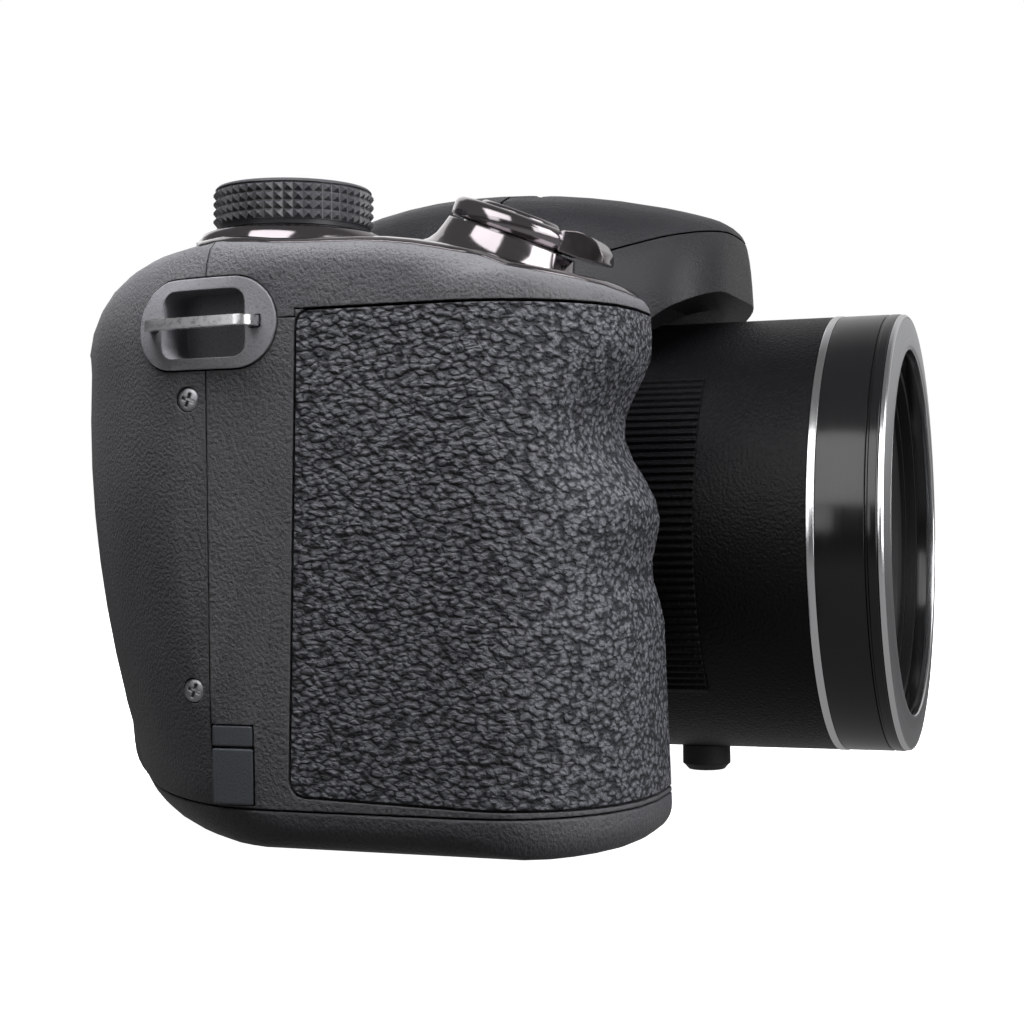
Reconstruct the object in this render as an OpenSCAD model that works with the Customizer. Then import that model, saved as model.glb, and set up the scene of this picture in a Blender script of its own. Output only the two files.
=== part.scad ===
// Bridge camera: fixed body with a deep right-hand grip, a retracting zoom lens and a pop-up flash.
// Millimetres. +Z is up, the lens looks along -Y, the grip is at -X.
// The origin is the mouth of the tripod socket, in the plane that the camera stands on.

/* [Body] */
// from the lens axis to the grip side
body_right = 78; // [70:0.5:90]
// from the lens axis to the far side
body_left = 51.6; // [45:0.2:60]
// from the socket back to the flat of the rear cover
body_rear = 49.5; // [42:0.5:58]
// from the socket forward to the front face beside the lens
body_front = 14; // [10:0.5:18]
// height of the deck over the socket
deck_h = 78.8; // [70:0.2:90]
// fall of the deck toward the front, a part of its length
deck_slope = 0.16; // [0.05:0.01:0.25]
// rise of the deck behind the shutter, over its slope
deck_crown = 1.8; // [0:0.1:2.4]
// how far the far shoulder lies under the grip shoulder
shoulder_drop = 5; // [0:0.5:10]
// total thickness of the covers' walls
wall = 2; // [1.6:0.1:3]
// plane where the front and rear covers meet
seam_y = 8.4; // [4:0.1:14]
// from the deck down to the line under the top cover
top_split = 10.8; // [8.8:0.2:18.8]
// gap that shows at a seam between two covers
seam = 0.2; // [0.1:0.05:0.4]
// gap between a moving piece and its neighbours
clear = 0.3; // [0.2:0.05:0.5]

/* [Grip] */
// from the socket forward to the nose of the grip
grip_front = 45.9; // [40:0.5:54]
// inner wall of the grip, from the lens axis
grip_inner = 42.5; // [40:0.5:50]
// depth of the groove for the first finger
groove_1 = 4.4; // [0:0.2:7]
// depth of the groove for the second finger
groove_2 = 1.4; // [0:0.2:4]
// thickness of the rubber panel
rubber_t = 1; // [0.6:0.1:1.4]
// rear end of the rubber panel's upper edge
rubber_rear = -4.7; // [-10:0.1:2]
// from the deck down to the upper edge of the rubber panel
rubber_top = 10; // [6.8:0.2:18.8]

/* [Battery] */
// line over the battery door
door_z = 5.4; // [4:0.2:8]
// from the lens axis to the axis that the door turns on
door_hinge_x = 37; // [34:0.5:42]
// radius of the door's hinge edge
door_hinge_r = 2.1; // [1.6:0.1:2.6]
// radius of one AA cell
cell_r = 7.05; // [6.75:0.05:7.1]
// length of one AA cell
cell_l = 50; // [49:0.1:50.5]

/* [Lens] */
// height of the lens axis over the socket
axis_z = 39; // [34:0.5:44]
// radius of the fixed barrel
barrel_r = 33.7; // [30:0.1:36]
// front lip of the silver bezel
lens_front = 72.2; // [64:0.2:80]
// plane of the silver accent ring's front
accent_y = 62.2; // [52:0.2:66]
// width of the bezel's face, from the barrel's outside in to its mouth
mouth_r = 5.5; // [4.2:0.1:9.7]
// number of ribs in one patch on the barrel
rib_count = 42; // [10:1:60]
// half of the angle that a rib patch covers
rib_half = 43; // [20:1:70]
// travel of the first sliding barrel
zoom_1 = 20; // [10:1:24]
// travel of the second barrel in the first
zoom_2 = 18; // [8:1:22]

/* [Flash] */
// from the top of the barrel up to the top of the hump
hump_top = 21.8; // [15.3:0.1:31.3]
// half of the width of the hump
hump_half = 25; // [20:0.5:30]
// front of the hump
hump_front = 45.2; // [40:0.2:52]
// axis that the lid turns on, back from the front
lid_axis_y = -13; // [-20:0.5:-6]
// radius of the lid's hinge edge
lid_axis_r = 2.2; // [1.8:0.1:3]

/* [Controls] */
// from the lens axis to the dial and the shutter button
control_x = 58; // [54:0.5:64]
// centre of the mode dial
dial_y = 5.2; // [0:0.5:10]
// radius of the mode dial
dial_r = 11.1; // [9:0.1:13]
// height of the dial's knurled band
dial_h = 5.6; // [4:0.1:8]
// teeth around the dial
dial_teeth = 50; // [24:2:72]
// forward lean of the dial
dial_lean = 1; // [0:0.5:8]
// centre of the shutter pedestal
shutter_y = -25; // [-30:0.5:-20]
// forward lean of the shutter button
shutter_lean = 22; // [10:1:28]
// radius of the zoom lever ring
lever_r = 8.4; // [7:0.1:10]
// radius of the shutter button
shutter_r = 5.6; // [4:0.1:6.5]
// travel of the shutter button
shutter_travel = 1.2; // [0.5:0.1:2]
// travel of the rear keys
key_travel = 0.6; // [0.3:0.1:1]

/* [Rear screen] */
// width of the window
screen_w = 65; // [50:1:68]
// height of the window
screen_h = 50; // [38:1:56]
// left edge of the window seen from the back is its +X edge
screen_x = 39; // [34:0.5:42]
// lower edge of the window
screen_z = 9; // [6:0.5:14]
// how far the window stands out of the rear cover
screen_proud = 1.2; // [0.4:0.1:2]

/* [Mounts] */
// radius of the tripod socket's bore
socket_r = 3.2; // [3:0.05:3.4]
// depth of the tripod socket's bore
socket_depth = 6.5; // [4.5:0.1:9]
// stand-out of the strap loops
loop_out = 2.5; // [2:0.1:6]
// half of the width of a strap loop
loop_half = 8.3; // [7.8:0.1:9]

/* [Hidden] */
$fn = 64;
barrel_top = axis_z + barrel_r;
hump_h = barrel_top + hump_top;
split_z = deck_h - top_split;
rubber_z = deck_h - rubber_top;
nose_in = 19;
grip_x = -grip_inner;
lean_z = deck_h - 21.8;
lean_k = 0.136;
recess_t = rubber_t + 0.1;
rear_run = 50;
rear_draw = 37.5;
hump_mid = -5;
door_top = door_z - clear / 2;
door_x = -door_hinge_x;
door_rear = 27;
hinge_z = door_hinge_r;
deck_at_dial = deck_h + deck_slope * dial_y;
dial_base_z = deck_at_dial + 2;
deck_at_shutter = deck_h + deck_slope * shutter_y;
crown_y = shutter_y + 7;
panel_at = [33.5 - body_right, body_rear - 8.3, deck_h - 38.8];
panel_turn = 27;
panel_lean = -5.4;
strap_z = deck_h - 11;
strap_y = 8.8;
strap_turn = 6.7;
far_strap_z = deck_h - 27.8;
lid_axis_z = hump_h - 0.0041 * pow(lid_axis_y - hump_mid, 2) - lid_axis_r - 0.15;
bush_r = socket_r + 2.3;
bush_top = 4.4;
lamp_x = body_left - 10.6;
lamp_z = deck_h - 22.8;
shaft_r = 2.5;
stem_r = 3;
skirt_r = lever_r - 1.5;
lever_reach = lever_r + 5.6;
power_at = [22 - control_x, -6, deck_h];
power_r = 3.8;
pin_r = 1;
latch_at = [-58, -33.5];
flap_fold = door_z + 7.7;
flap_y = seam_y - 3.1;
flap_half = 2.9;
anchor_tall = 2.6;
mouth_in = barrel_r - mouth_r;
sleeve_t = mouth_r * 19 / 55;
stage_1_r = mouth_in - 0.6;
stage_2_r = stage_1_r - 2;
glass_r = stage_2_r - 5.1;
guide_pin_r = 1;
plate_y = seam_y - 0.3;
board_y = plate_y + 7.9;
port_y = seam_y + 11.6;
port_half = 5.8;
port_z = 24;
port_tall = 7.8;
well_z = 1.4;
button_low = well_z + clear + shutter_travel;
// the lens base is as wide as the barrel, where the deck leaves it room
base_r = min(barrel_r - 0.3, deck_h - wall - 1.7 - axis_z);
// the flash unit fits between the floor over the barrel and the top of the lid
flash_half = (hump_top - 8.42) / 3.185;
flash_at = [0, lid_axis_y - 17.6, barrel_top + 5.52 + 0.9 * flash_half];
flash_w = 12.5;
knuckle_x = 9.2;
bracket_x = flash_w + 0.9;
set_r = 3.4;
// keys on the rear panel: place across and down the panel, and radius
key_sites = [[-5, -21, 3], [5.5, -17, 2.8], [0, 0, 9], [-5.5, 17, 2.8], [5.5, 17, 2.8]];
cell_pitch = 2 * cell_r + 0.35;
cell_z = door_z + 0.8;
box_half = cell_pitch + 0.35 / 2 + 0.6;
box_x = -body_right + wall + 0.45 + box_half;
box_y = 34.4 - grip_front;

function clamp01(t) = max(0, min(1, t));
function ease(t) = let (c = clamp01(t)) c * c * (3 - 2 * c);
function mix(a, b, t) = a + (b - a) * t;
function bump(t) = abs(t) >= 1 ? 0 : pow(cos(90 * t), 2);
// how far a face has drawn in at distance d from the end of a run a, where it has drawn in by b
function draw_in(d, a, b, n) = d >= a ? 0 : b * (1 - pow(1 - pow(1 - max(d, 0) / a, n), 1 / n));
function steps(a, b, n) = n < 2 ? [] : [for (i = [1:n - 1]) mix(a, b, i / n)];

// points of the fillet of radius r at corner p between the corners a and b
function fillet(a, p, b, r, n) =
    let (
        u = (a - p) / norm(a - p),
        v = (b - p) / norm(b - p),
        half = acos(max(-0.9999, min(0.9999, u * v))) / 2,
        centre = p + (u + v) / norm(u + v) * (r / sin(half)),
        s = p + u * (r / tan(half)) - centre,
        e = p + v * (r / tan(half)) - centre,
        from = atan2(s.y, s.x),
        sweep = (atan2(e.y, e.x) - from + 540) % 360 - 180
    )
    [for (i = [0:n]) centre + r * [cos(from + sweep * i / n), sin(from + sweep * i / n)]];
function rounded(p, r, n) =
    let (m = len(p))
    [for (i = [0:m - 1]) each fillet(p[(i + m - 1) % m], p[i], p[(i + 1) % m], r, n)];

// body: sections across X of one closed skin; w sets the skin in by a wall, n sets its fineness
function front_at(x, w) =
    x < grip_x - w
    ? -grip_front + w + draw_in(x + body_right - w, 20, nose_in, 2)
        + draw_in(grip_x - w - x, 10, grip_front - body_front, 3)
    : -body_front + w + draw_in(body_left - w - x, 12, 10, 2);
function rear_at(x, w) =
    body_rear - w - draw_in(x + body_right - w, rear_run, rear_draw, 1.5)
    - draw_in(body_left - w - x, 12, 9, 2);
function base_at(x, w) = w + draw_in(x + body_right - w, 4, 4, 2) + draw_in(body_left - w - x, 10, 9, 2);
function deck_at(x, y, w) =
    deck_h + deck_slope * mix(min(y, 16), 0.55 * min(y, 16) - 2, ease((x + 45) / 25))
    - shoulder_drop * ease((x - 18) / 30) - w
    - draw_in(x + body_right - w, 3.5, 3.5, 2) - draw_in(body_left - w - x, 9, 9, 2);
function groove(z) = groove_1 * bump((z - deck_h + 25.3) / 11.5) + groove_2 * bump((z - deck_h + 43.8) / 7);
function section(x, w, n) =
    let (
        side = ease((x + 45) / 20),
        nose = ease((grip_x - w - x) / 5),
        yf = front_at(x, w),
        yr = rear_at(x, w),
        zb = base_at(x, w),
        lean = lean_k * (1 - side),
        tilt = 0.037 * nose,
        zf = deck_at(x, yf, w),
        zr = deck_at(x, yr, w),
        fb = [yf, zb],
        rb = [yr - lean * (lean_z - zb), zb],
        rt = [yr + lean * (zr - lean_z), zr],
        ft = [yf + tilt * (zf - 12), zf],
        less = min(w, 2),
        a = fillet(ft, fb, rb, mix(3.8, 6, side) - less, n),
        b = fillet(fb, rb, rt, mix(11, 6, side) - less, n),
        c = fillet(rb, rt, ft, mix(13.8, 9, side) - less, n),
        d = fillet(rt, ft, fb, 3.2 - less, n),
        crown = deck_crown * (1 - ease((x + 50) / 12)),
        top = [for (p = steps(c[n], d[0], 9)) [p.x, p.y + crown * bump((p.x - crown_y) / 22.5)]],
        grip = nose * ease((x + body_right - w - 1) / 12),
        front = [for (p = steps(d[n], a[0], 3 * n)) [p.x + grip * groove(p.y), p.y]],
        belly = 2.7 * (1 - side),
        back = [for (i = [1:n - 1]) let (p = mix(b[n], c[0], i / n), t = i / n)
            [p.x + belly * 4 * t * (1 - t), p.y]],
        ring = concat(a, steps(a[n], b[0], 3), b, back, c, top, d, front)
    )
    [for (p = ring) [x, p.x, p.y]];
function stations(w) =
    concat(
        [for (u = [0, 0.25, 0.8, 1.7, 3, 4.8, 7, 10, 14]) u + w - body_right],
        [-58.5],
        [for (d = [11.5, 8, 5.5, 3.7, 2.2, 1.1, 0.4, 0.1, 0]) grip_x - w - d],
        [-38, -33, -28, -23, -12, 2, 18, 29],
        [for (v = [12, 8.5, 5.8, 3.6, 2, 0.9, 0.25, 0]) body_left - w - v]
    );

module skin(rings) {
    n = len(rings[0]);
    m = len(rings);
    sides = [
        for (i = [0:m - 2])
            for (j = [0:n - 1])
                let (a = i * n + j, b = i * n + (j + 1) % n)
                each [[a, a + n, b], [b, a + n, b + n]]
    ];
    caps = [[for (j = [0:n - 1]) j], [for (j = [n - 1:-1:0]) (m - 1) * n + j]];
    polyhedron([for (r = rings) each r], concat(sides, caps));
}
module body(w = 0, n = 8) skin([for (x = stations(w)) section(x, w, n)]);
// keeps a moulded shape, with all its cuts, one closed mesh
module moulded() resize([0, 0, 0]) children();
// a profile in Y and Z, drawn across X
module across(x0, x1) translate([x0, 0, 0]) rotate([90, 0, 90]) linear_extrude(x1 - x0) children();
module box_between(a, b) translate(a) cube(b - a);
// a profile of radius and depth toward the back, turned about the lens axis
module about_lens() translate([0, 0, axis_z]) rotate([-90, 0, 0]) rotate_extrude() children();
module ring_between(r0, r1, y0, y1) about_lens() translate([r0, y0]) square([r1 - r0, y1 - y0]);
// depth behind the front lip of the lens
function behind(d) = d - lens_front;
module lens_rod(r, y0, y1) translate([0, y0, axis_z]) rotate([-90, 0, 0]) cylinder(r = r, h = y1 - y0);

// a solid turned about Z, from points of height and of radius over r, upward
module turned(r, points) rotate_extrude($fn = 48) polygon(concat(
    [[0, points[0].y]], [for (p = points) [r + p.x, p.y]], [[0, points[len(points) - 1].y]]));

// frames of the controls that stand at an angle
module at_dial() translate([-control_x, dial_y, dial_base_z]) rotate([dial_lean, 0, 0]) children();
module at_shutter() translate([-control_x, shutter_y, deck_at_shutter]) rotate([shutter_lean, 0, 0])
    children();
module at_panel(x, y) translate(panel_at) rotate([0, 0, panel_turn]) rotate([panel_lean - 90, 0, 0])
    translate([x, y, 0]) children();
module at_power() translate(power_at) children();
module at_strap() translate([-body_right, strap_y, strap_z]) rotate([0, 0, -strap_turn]) children();
module at_far_strap() translate([body_left, strap_y + 6.4, far_strap_z]) rotate([0, 0, 180]) children();

/* outlines shared by a piece and the opening that it sits in */
module rubber_outline(grow = 0) {
    polygon(rounded([
        [-60, 6.2 - grow], [-30, 6.6 - grow], [rubber_rear + 1.8 + grow, 7.5 - grow],
        [rubber_rear + grow, rubber_z + grow], [-60, rubber_z + grow]
    ], 1.9 + grow, 4));
}
module rubber_zone(grow = 0) across(-90, -grip_inner - 1.5 + grow) rubber_outline(grow);
module door_zone(gap = 0) {
    box_between([-90, -60, -5], [door_x, door_rear + gap, door_top + gap]);
    translate([door_x, -60, hinge_z]) rotate([-90, 0, 0])
        cylinder(r = door_hinge_r + 3.6 * gap, h = 60 + door_rear + gap, $fn = 40);
}
module strap_outline(grow = 0) {
    across(-1.2, 8) hull() for (t = [-4.6, 4.6]) translate([t, 0]) circle(r = 5.9 + grow, $fn = 40);
}
module flap_zone(grow = 0) across(-body_right - 1, -body_right + 1.3 + grow)
    translate([flap_y - flap_half - 0.1 - grow, door_top + 2 * clear])
        square([2 * (flap_half + 0.1 + grow), flap_fold - door_top - clear]);
module anchor_zone(grow = 0) across(-body_right - grow, -body_right + 1.2)
    translate([flap_y - flap_half - grow, flap_fold + 1.1 * clear - grow])
        square([2 * (flap_half + grow), anchor_tall + 2 * grow]);
module port_outline(grow = 0) translate([port_y - port_half - grow, port_z - port_tall - grow])
    square(2 * [port_half + grow, port_tall + grow]);
module port_zone(grow = 0) across(body_left - 1.3 - grow, body_left + 1) port_outline(0.2 + grow);
module screw_sites() {
    for (s = [[0.8, 20.4], [0.15, deck_h - 20.7]])
        translate([s.x - body_right, seam_y + 2.7, s.y]) rotate([0, 90, 0]) children();
    for (z = [12, 40]) translate([body_left - 0.35, body_rear - 15.5, z]) rotate([0, -90, 0]) children();
    for (x = [door_x + 9, body_left - 15.6]) translate([x, body_rear - 19.5, 0.35]) children();
}
module screw_hole() {
    translate([0, 0, -3]) cylinder(r = 1.7, h = 4.2, $fn = 20);
    cylinder(r = 1, h = 8, $fn = 14);
}
module cavity() body(wall, 3);

// hump: arches across Y that stand on the deck and reach over the barrel
function hump_z(y) = hump_h - (y < hump_mid ? 0.0041 : 0.0065) * pow(y - hump_mid, 2);
function hump_w(y) = hump_half - (y > -20 ? 5.5 * pow((y + 20) / 40, 2) : 2 * pow((y + 20) / 26, 2));
function hump_arch(y, w) =
    let (
        half = hump_w(y) - w - draw_in(y + hump_front - w, 9, 13, 2),
        low = barrel_top - 11.7,
        top = hump_z(y) - w - draw_in(y + hump_front - w, 2.4, 1.6, 2) - draw_in(27 - w - y, 10, 8.5, 2)
    )
    concat(
        [for (i = [0:20]) let (a = 180 * i / 20, c = cos(a), s = sin(a))
            [half * sign(c) * pow(abs(c), 0.62), y, low + (top - low) * pow(abs(s), 0.62)]],
        [[-half, y, low - 6], [half, y, low - 6]]
    );
module hump(w = 0) {
    ends = [for (u = [10, 7.4, 5.4, 4, 2.9, 1.8, 0.9, 0.3, 0]) u + w - hump_front];
    skin([for (y = concat([27 - w], [26, 24, 21], [for (y = [17:-5:-28]) y], ends)) hump_arch(y, w)]);
}
// the lower edge of the hump sweeps up to its front
module hump_under() {
    across(-40, 40) polygon([
        [-60, barrel_top + 5.3], [-hump_front - 1, barrel_top + 4.3], [6.2 - hump_front, barrel_top + 0.5],
        [13.2 - hump_front, barrel_top - 4.5], [-20, barrel_top - 10.1], [-10, barrel_top - 12.1],
            [-10, 40], [-60, 40]]);
    lens_rod(barrel_r + 2, -lens_front, -10);
}
module lid_side(gap = 0) {
    polygon([
        [lid_axis_y, lid_axis_z], [lid_axis_y, lid_axis_z - lid_axis_r - gap],
            [lid_axis_y - 16.5, hump_h - 12.2 - gap],
        [lid_axis_y - 37, hump_h - 6.9 - gap], [lid_axis_y - 37, hump_h + 25], [lid_axis_y, hump_h + 25]
    ]);
    translate([lid_axis_y, lid_axis_z]) circle(r = lid_axis_r + (gap > 0 ? gap + 0.25 : 0), $fn = 24);
}
module lid_zone(gap = 0) across(-40, 40) lid_side(gap);

// covers
module shell() {
    difference() {
        body();
        cavity();
        lens_rod(barrel_r - 2.2, -body_front - 1, -2);
        at_strap() strap_outline(0.2);
        at_far_strap() strap_outline(0.2);
        screw_sites() screw_hole();
    }
}
module behind_seam(gap = 0) box_between([-95, seam_y - gap, -5], [95, 75, 120]);
module before_seam(gap = 0) box_between([-95, -95, -5], [95, seam_y + gap, 120]);
// side profile of the top cover's lower edge, open to the top
module top_side(up = 0) polygon([
    [20, split_z + up], [rubber_rear + 0.2 + up, split_z + up], [rubber_rear + 0.2 + up, rubber_z + 0.2 + up],
    [-60, rubber_z + 0.2 + up], [-60, 120], [20, 120]
]);
module front_cover() color("#2e2e30") moulded() difference() {
    shell();
    behind_seam(seam / 2);
    across(-95, 95) top_side();
    difference() {
        rubber_zone(2 * seam);
        body(recess_t);
    }
    door_zone(clear);
    flap_zone(0.2);
    anchor_zone(0.2);
    translate([-body_right, flap_y, flap_fold - 3.6]) rotate([0, 90, 0]) cylinder(r = 1.8, h = 4, $fn = 24);
    translate([0, 0, -1]) cylinder(r = bush_r + 0.05, h = 9);
    translate([lamp_x, 0, lamp_z]) rotate([90, 0, 0]) cylinder(r = 2.7, h = 30, $fn = 32);
}
module top_cover() color("#2f2f31") moulded() difference() {
    intersection() {
        shell();
        across(-95, 95) top_side(seam);
    }
    behind_seam(seam / 2);
    at_dial() translate([0, 0, -20]) cylinder(r = shaft_r + clear, h = 30);
    at_shutter() translate([0, 0, -9]) cylinder(r = stem_r + clear, h = 18);
    at_shutter() translate([0, 0, well_z]) cylinder(r = skirt_r + clear + 0.1, h = 9);
    at_power() translate([0, 0, -20]) cylinder(r = power_r + clear, h = 30);
}
module rear_cover() color("#2d2d2f") moulded() difference() {
    union() {
        shell();
        intersection() {
            body();
            panel_slab(-1.9, 3);
        }
    }
    before_seam(seam / 2);
    door_zone(clear);
    port_zone(0.2);
    box_between([body_left - 9, port_y - 4.2, port_z - 4.2], [body_left, port_y + 4.2, port_z + 4.2]);
    panel_slab(0, 12);
    screen_cut();
    for (k = key_sites) at_panel(k.x, k.y) translate([0, 0, -9]) cylinder(r = k.z + clear, h = 18, $fn = 32);
}
// the flat of the key panel, from a depth to a height over it
module panel_slab(z0, z1) intersection() {
    at_panel(0, 0) translate([-12.6, -27, z0]) linear_extrude(z1 - z0)
        polygon(rounded([[0, 0], [25.2, 0], [25.2, 52], [0, 52]], 4, 5));
    box_between([-90, 20, -5], [0, 80, 100]);
}
module screen_cut() {
    box_between([screen_x - screen_w - 0.15, body_rear - 1.1, screen_z - 0.15],
                [screen_x + 0.15, 70, screen_z + screen_h + 0.15]);
    box_between([screen_x - screen_w + 2, 40, screen_z + 2], [screen_x - 2, 70, screen_z + screen_h - 2]);
}
module grip_rubber() color("#26282a") moulded() intersection() {
    difference() {
        body();
        body(rubber_t);
    }
    rubber_zone();
    before_seam();
}
module battery_door() color("#2b2b2d") moulded() difference() {
    intersection() {
        body();
        door_zone();
    }
    translate([box_x - box_half, box_y - box_half, door_z - 2.4]) cube([2 * box_half, 2 * box_half, 9]);
    translate([latch_at.x - 7.6, latch_at.y - 3.3, -1]) cube([15.2, 6.6, 3.1]);
    translate([door_x, -60, hinge_z]) rotate([-90, 0, 0]) cylinder(r = pin_r + 0.05, h = 120, $fn = 32);
}
module door_latch() color("#3a3a3d") {
    translate([latch_at.x - 7.2, latch_at.y - 3, 0.5]) cube([11.4, 6, 1.3]);
    for (i = [0:2]) translate([latch_at.x - 5.4 + 3 * i, latch_at.y - 2.2, 0.3]) cube([1, 4.4, 0.4]);
}
module door_contacts() color("#c9a24a") {
    for (x = [box_x - cell_pitch / 2, box_x + cell_pitch / 2])
        translate([x - 5, box_y - 12, door_z - 2.35]) cube([10, 24, 0.8]);
}
module door_pin() color("#b8b8bc") translate([door_x, -body_front + 3, hinge_z]) rotate([-90, 0, 0])
    cylinder(r = pin_r, h = 30);
module cord_flap() color("#202124") across(-body_right, -body_right + 1.2)
    translate([flap_y - flap_half, door_top + 2.3 * clear])
        square([2 * flap_half, flap_fold - door_top - 2.3 * clear]);
module flap_anchor() color("#202124") anchor_zone();
// strap points
module strap_bezel() difference() {
    intersection() {
        strap_outline();
        across(-1, 7.2) square([60, 60], center = true);
    }
    across(-2, 5.4) polygon(rounded([[-6.2, -4.4], [6.2, -4.4], [6.2, 4.4], [-6.2, 4.4]], 1.8, 5));
    for (s = [-1, 1]) translate([-3, s * (loop_half - 0.7) - 0.85, -0.85]) cube([9, 1.7, 1.7]);
}
module strap_loop() translate([0, 0, -0.7]) linear_extrude(1.4) difference() {
    polygon(rounded([[-loop_out, -loop_half], [5.5, -loop_half], [5.5, loop_half],
        [-loop_out, loop_half]], 1.9, 6));
    polygon(rounded([[1.4 - loop_out, 1.4 - loop_half], [9, 1.4 - loop_half], [9, loop_half - 1.4],
                     [1.4 - loop_out, loop_half - 1.4]], 0.8, 5));
}
module strap_bezels() color("#2b2b2d") {
    moulded() intersection() {
        at_strap() strap_bezel();
        body(-0.2);
    }
    at_far_strap() translate([0.8, 0, 0]) strap_bezel();
}
module strap_loops() color("#c8c8cc") {
    at_strap() strap_loop();
    at_far_strap() strap_loop();
}
module cover_screws() color("#a9a9ad") screw_sites() {
    cylinder(r = 1.6, h = 1.1, $fn = 32);
    translate([0, 0, 1]) cylinder(r = 0.9, h = 5, $fn = 32);
}

// deck trim with the dial's base and the shutter pedestal
module trim_zone() translate([0, 0, split_z]) linear_extrude(60) polygon(rounded([
    [-95, -60], [24 - control_x, -60], [29.5 - control_x, -20], [29.5 - control_x, power_at.y + 10],
    [18 - control_x, dial_y + 5.8], [10 - control_x, dial_y + 9.8], [-10 - control_x, dial_y + 9.8],
        [-95, -2]], 3, 4));
module top_trim() color("#57504c") moulded() difference() {
    union() {
        intersection() {
            translate([0, 0, 1.75]) body(1.1);
            trim_zone();
        }
        at_dial() turned(dial_r, [[2.2, -6], [2.05, -2.2], [1.8, -1.05], [1.3, -0.35], [0.5, 0]]);
        intersection() {
            at_shutter() turned(lever_r, [[8, -4], [6.8, -1.6], [4.9, -0.5], [3.3, 0.3], [2.1, 1.2],
                [1.4, 2.2], [0.95, 3.4], [0.5, 4.85]]);
            translate([0, 0, 12]) body(1.1);
        }
    }
    translate([0, 0, 0.05]) body();
    at_dial() translate([0, 0, -20]) cylinder(r = shaft_r + 0.1, h = 30);
    at_shutter() translate([0, 0, -9]) cylinder(r = skirt_r + clear, h = 20);
    at_power() translate([0, 0, -20]) cylinder(r = power_r + clear, h = 30);
}
module mode_dial() color("#1d1d1f") at_dial() difference() {
    union() {
        translate([0, 0, clear]) cylinder(r = dial_r - 0.7, h = 0.8);
        translate([0, 0, 1]) linear_extrude(dial_h - 0.8) polygon([
            for (i = [0:2 * dial_teeth - 1])
                let (r = dial_r - (i % 2) * 0.5, a = 180 * i / dial_teeth) r * [cos(a), sin(a)]]);
        translate([0, 0, dial_h]) cylinder(r1 = dial_r - 0.4, r2 = dial_r - 1.3, h = 0.8);
        translate([0, 0, -11]) cylinder(r = shaft_r, h = 12);
    }
    translate([0, 0, dial_h + 0.5]) cylinder(r = dial_r - 2, h = 2);
}
module zoom_lever() color("#6b635e") at_shutter() {
    difference() {
        union() {
            turned(lever_r, [[0.15, 5.15], [0.4, 5.4], [0.4, 7], [0.2, 7.45], [-0.2, 7.8], [-0.9, 7.95]]);
            translate([0, 0, well_z + clear]) cylinder(r = skirt_r, h = 4.2);
            intersection() {
                translate([0, 0, 3]) linear_extrude(6) polygon(rounded([
                    [-4.1, -6.5], [4.1, -6.5], [2.7, -lever_reach], [-2.7, -lever_reach]], 1.3, 5));
                across(-9, 9) translate([-lever_reach, 0]) polygon([
                    [7.6, 5.3], [7.6, 7.7], [5.5, 8.3], [4.6, 8.55], [3.7, 8.6], [2.7, 8.4], [1.8, 8],
                        [1, 7.35], [0.4, 6.6], [0.1, 5.8], [1, 5.55], [3.4, 5.25]]);
            }
        }
        cylinder(r = shutter_r + clear, h = 20);
    }
}
module shutter_button() color("#8a827c") at_shutter() difference() {
    union() {
        translate([0, 0, button_low]) cylinder(r = shutter_r, h = 8 - button_low);
        translate([0, 0, 8]) cylinder(r1 = shutter_r, r2 = shutter_r - 0.6, h = 0.5);
        translate([0, 0, -4.5]) cylinder(r = stem_r, h = 9);
    }
    translate([0, 0, 8.2 + 18]) sphere(r = 18);
}
module power_button() color("#8a827c") at_power() {
    translate([0, 0, -6]) cylinder(r = power_r, h = 7.4);
    translate([0, 0, 1.4]) cylinder(r1 = power_r, r2 = power_r - 0.4, h = 0.4);
}

// flash
module hump_cavity() difference() {
    hump(1.8);
    lens_rod(barrel_r + 3.8, -lens_front, -10);
    across(-40, 40) polygon([
        [-60, barrel_top + 7.3], [-hump_front - 1, barrel_top + 6.3], [6.2 - hump_front, barrel_top + 2.7],
        [13.2 - hump_front, barrel_top - 1.9], [-20, barrel_top - 7.1], [-10, barrel_top - 9.1],
            [-10, 40], [-60, 40]]);
}
module flash_housing() color("#303032") moulded() difference() {
    union() {
        difference() {
            hump();
            lid_zone(clear);
            hump_cavity();
        }
        intersection() {
            hump();
            for (s = [-1, 1]) across(s * knuckle_x - 2.8, s * knuckle_x + 2.8) {
                translate([lid_axis_y, lid_axis_z]) circle(r = lid_axis_r, $fn = 24);
                translate([lid_axis_y, lid_axis_z - lid_axis_r]) square([5, 9]);
            }
        }
    }
    hump_under();
    translate([0, 0, 0.1]) body();
    translate([-knuckle_x - 3, lid_axis_y, lid_axis_z])
        rotate([0, 90, 0]) cylinder(r = pin_r - 0.14, h = 2 * knuckle_x + 6, $fn = 20);
}
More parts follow.
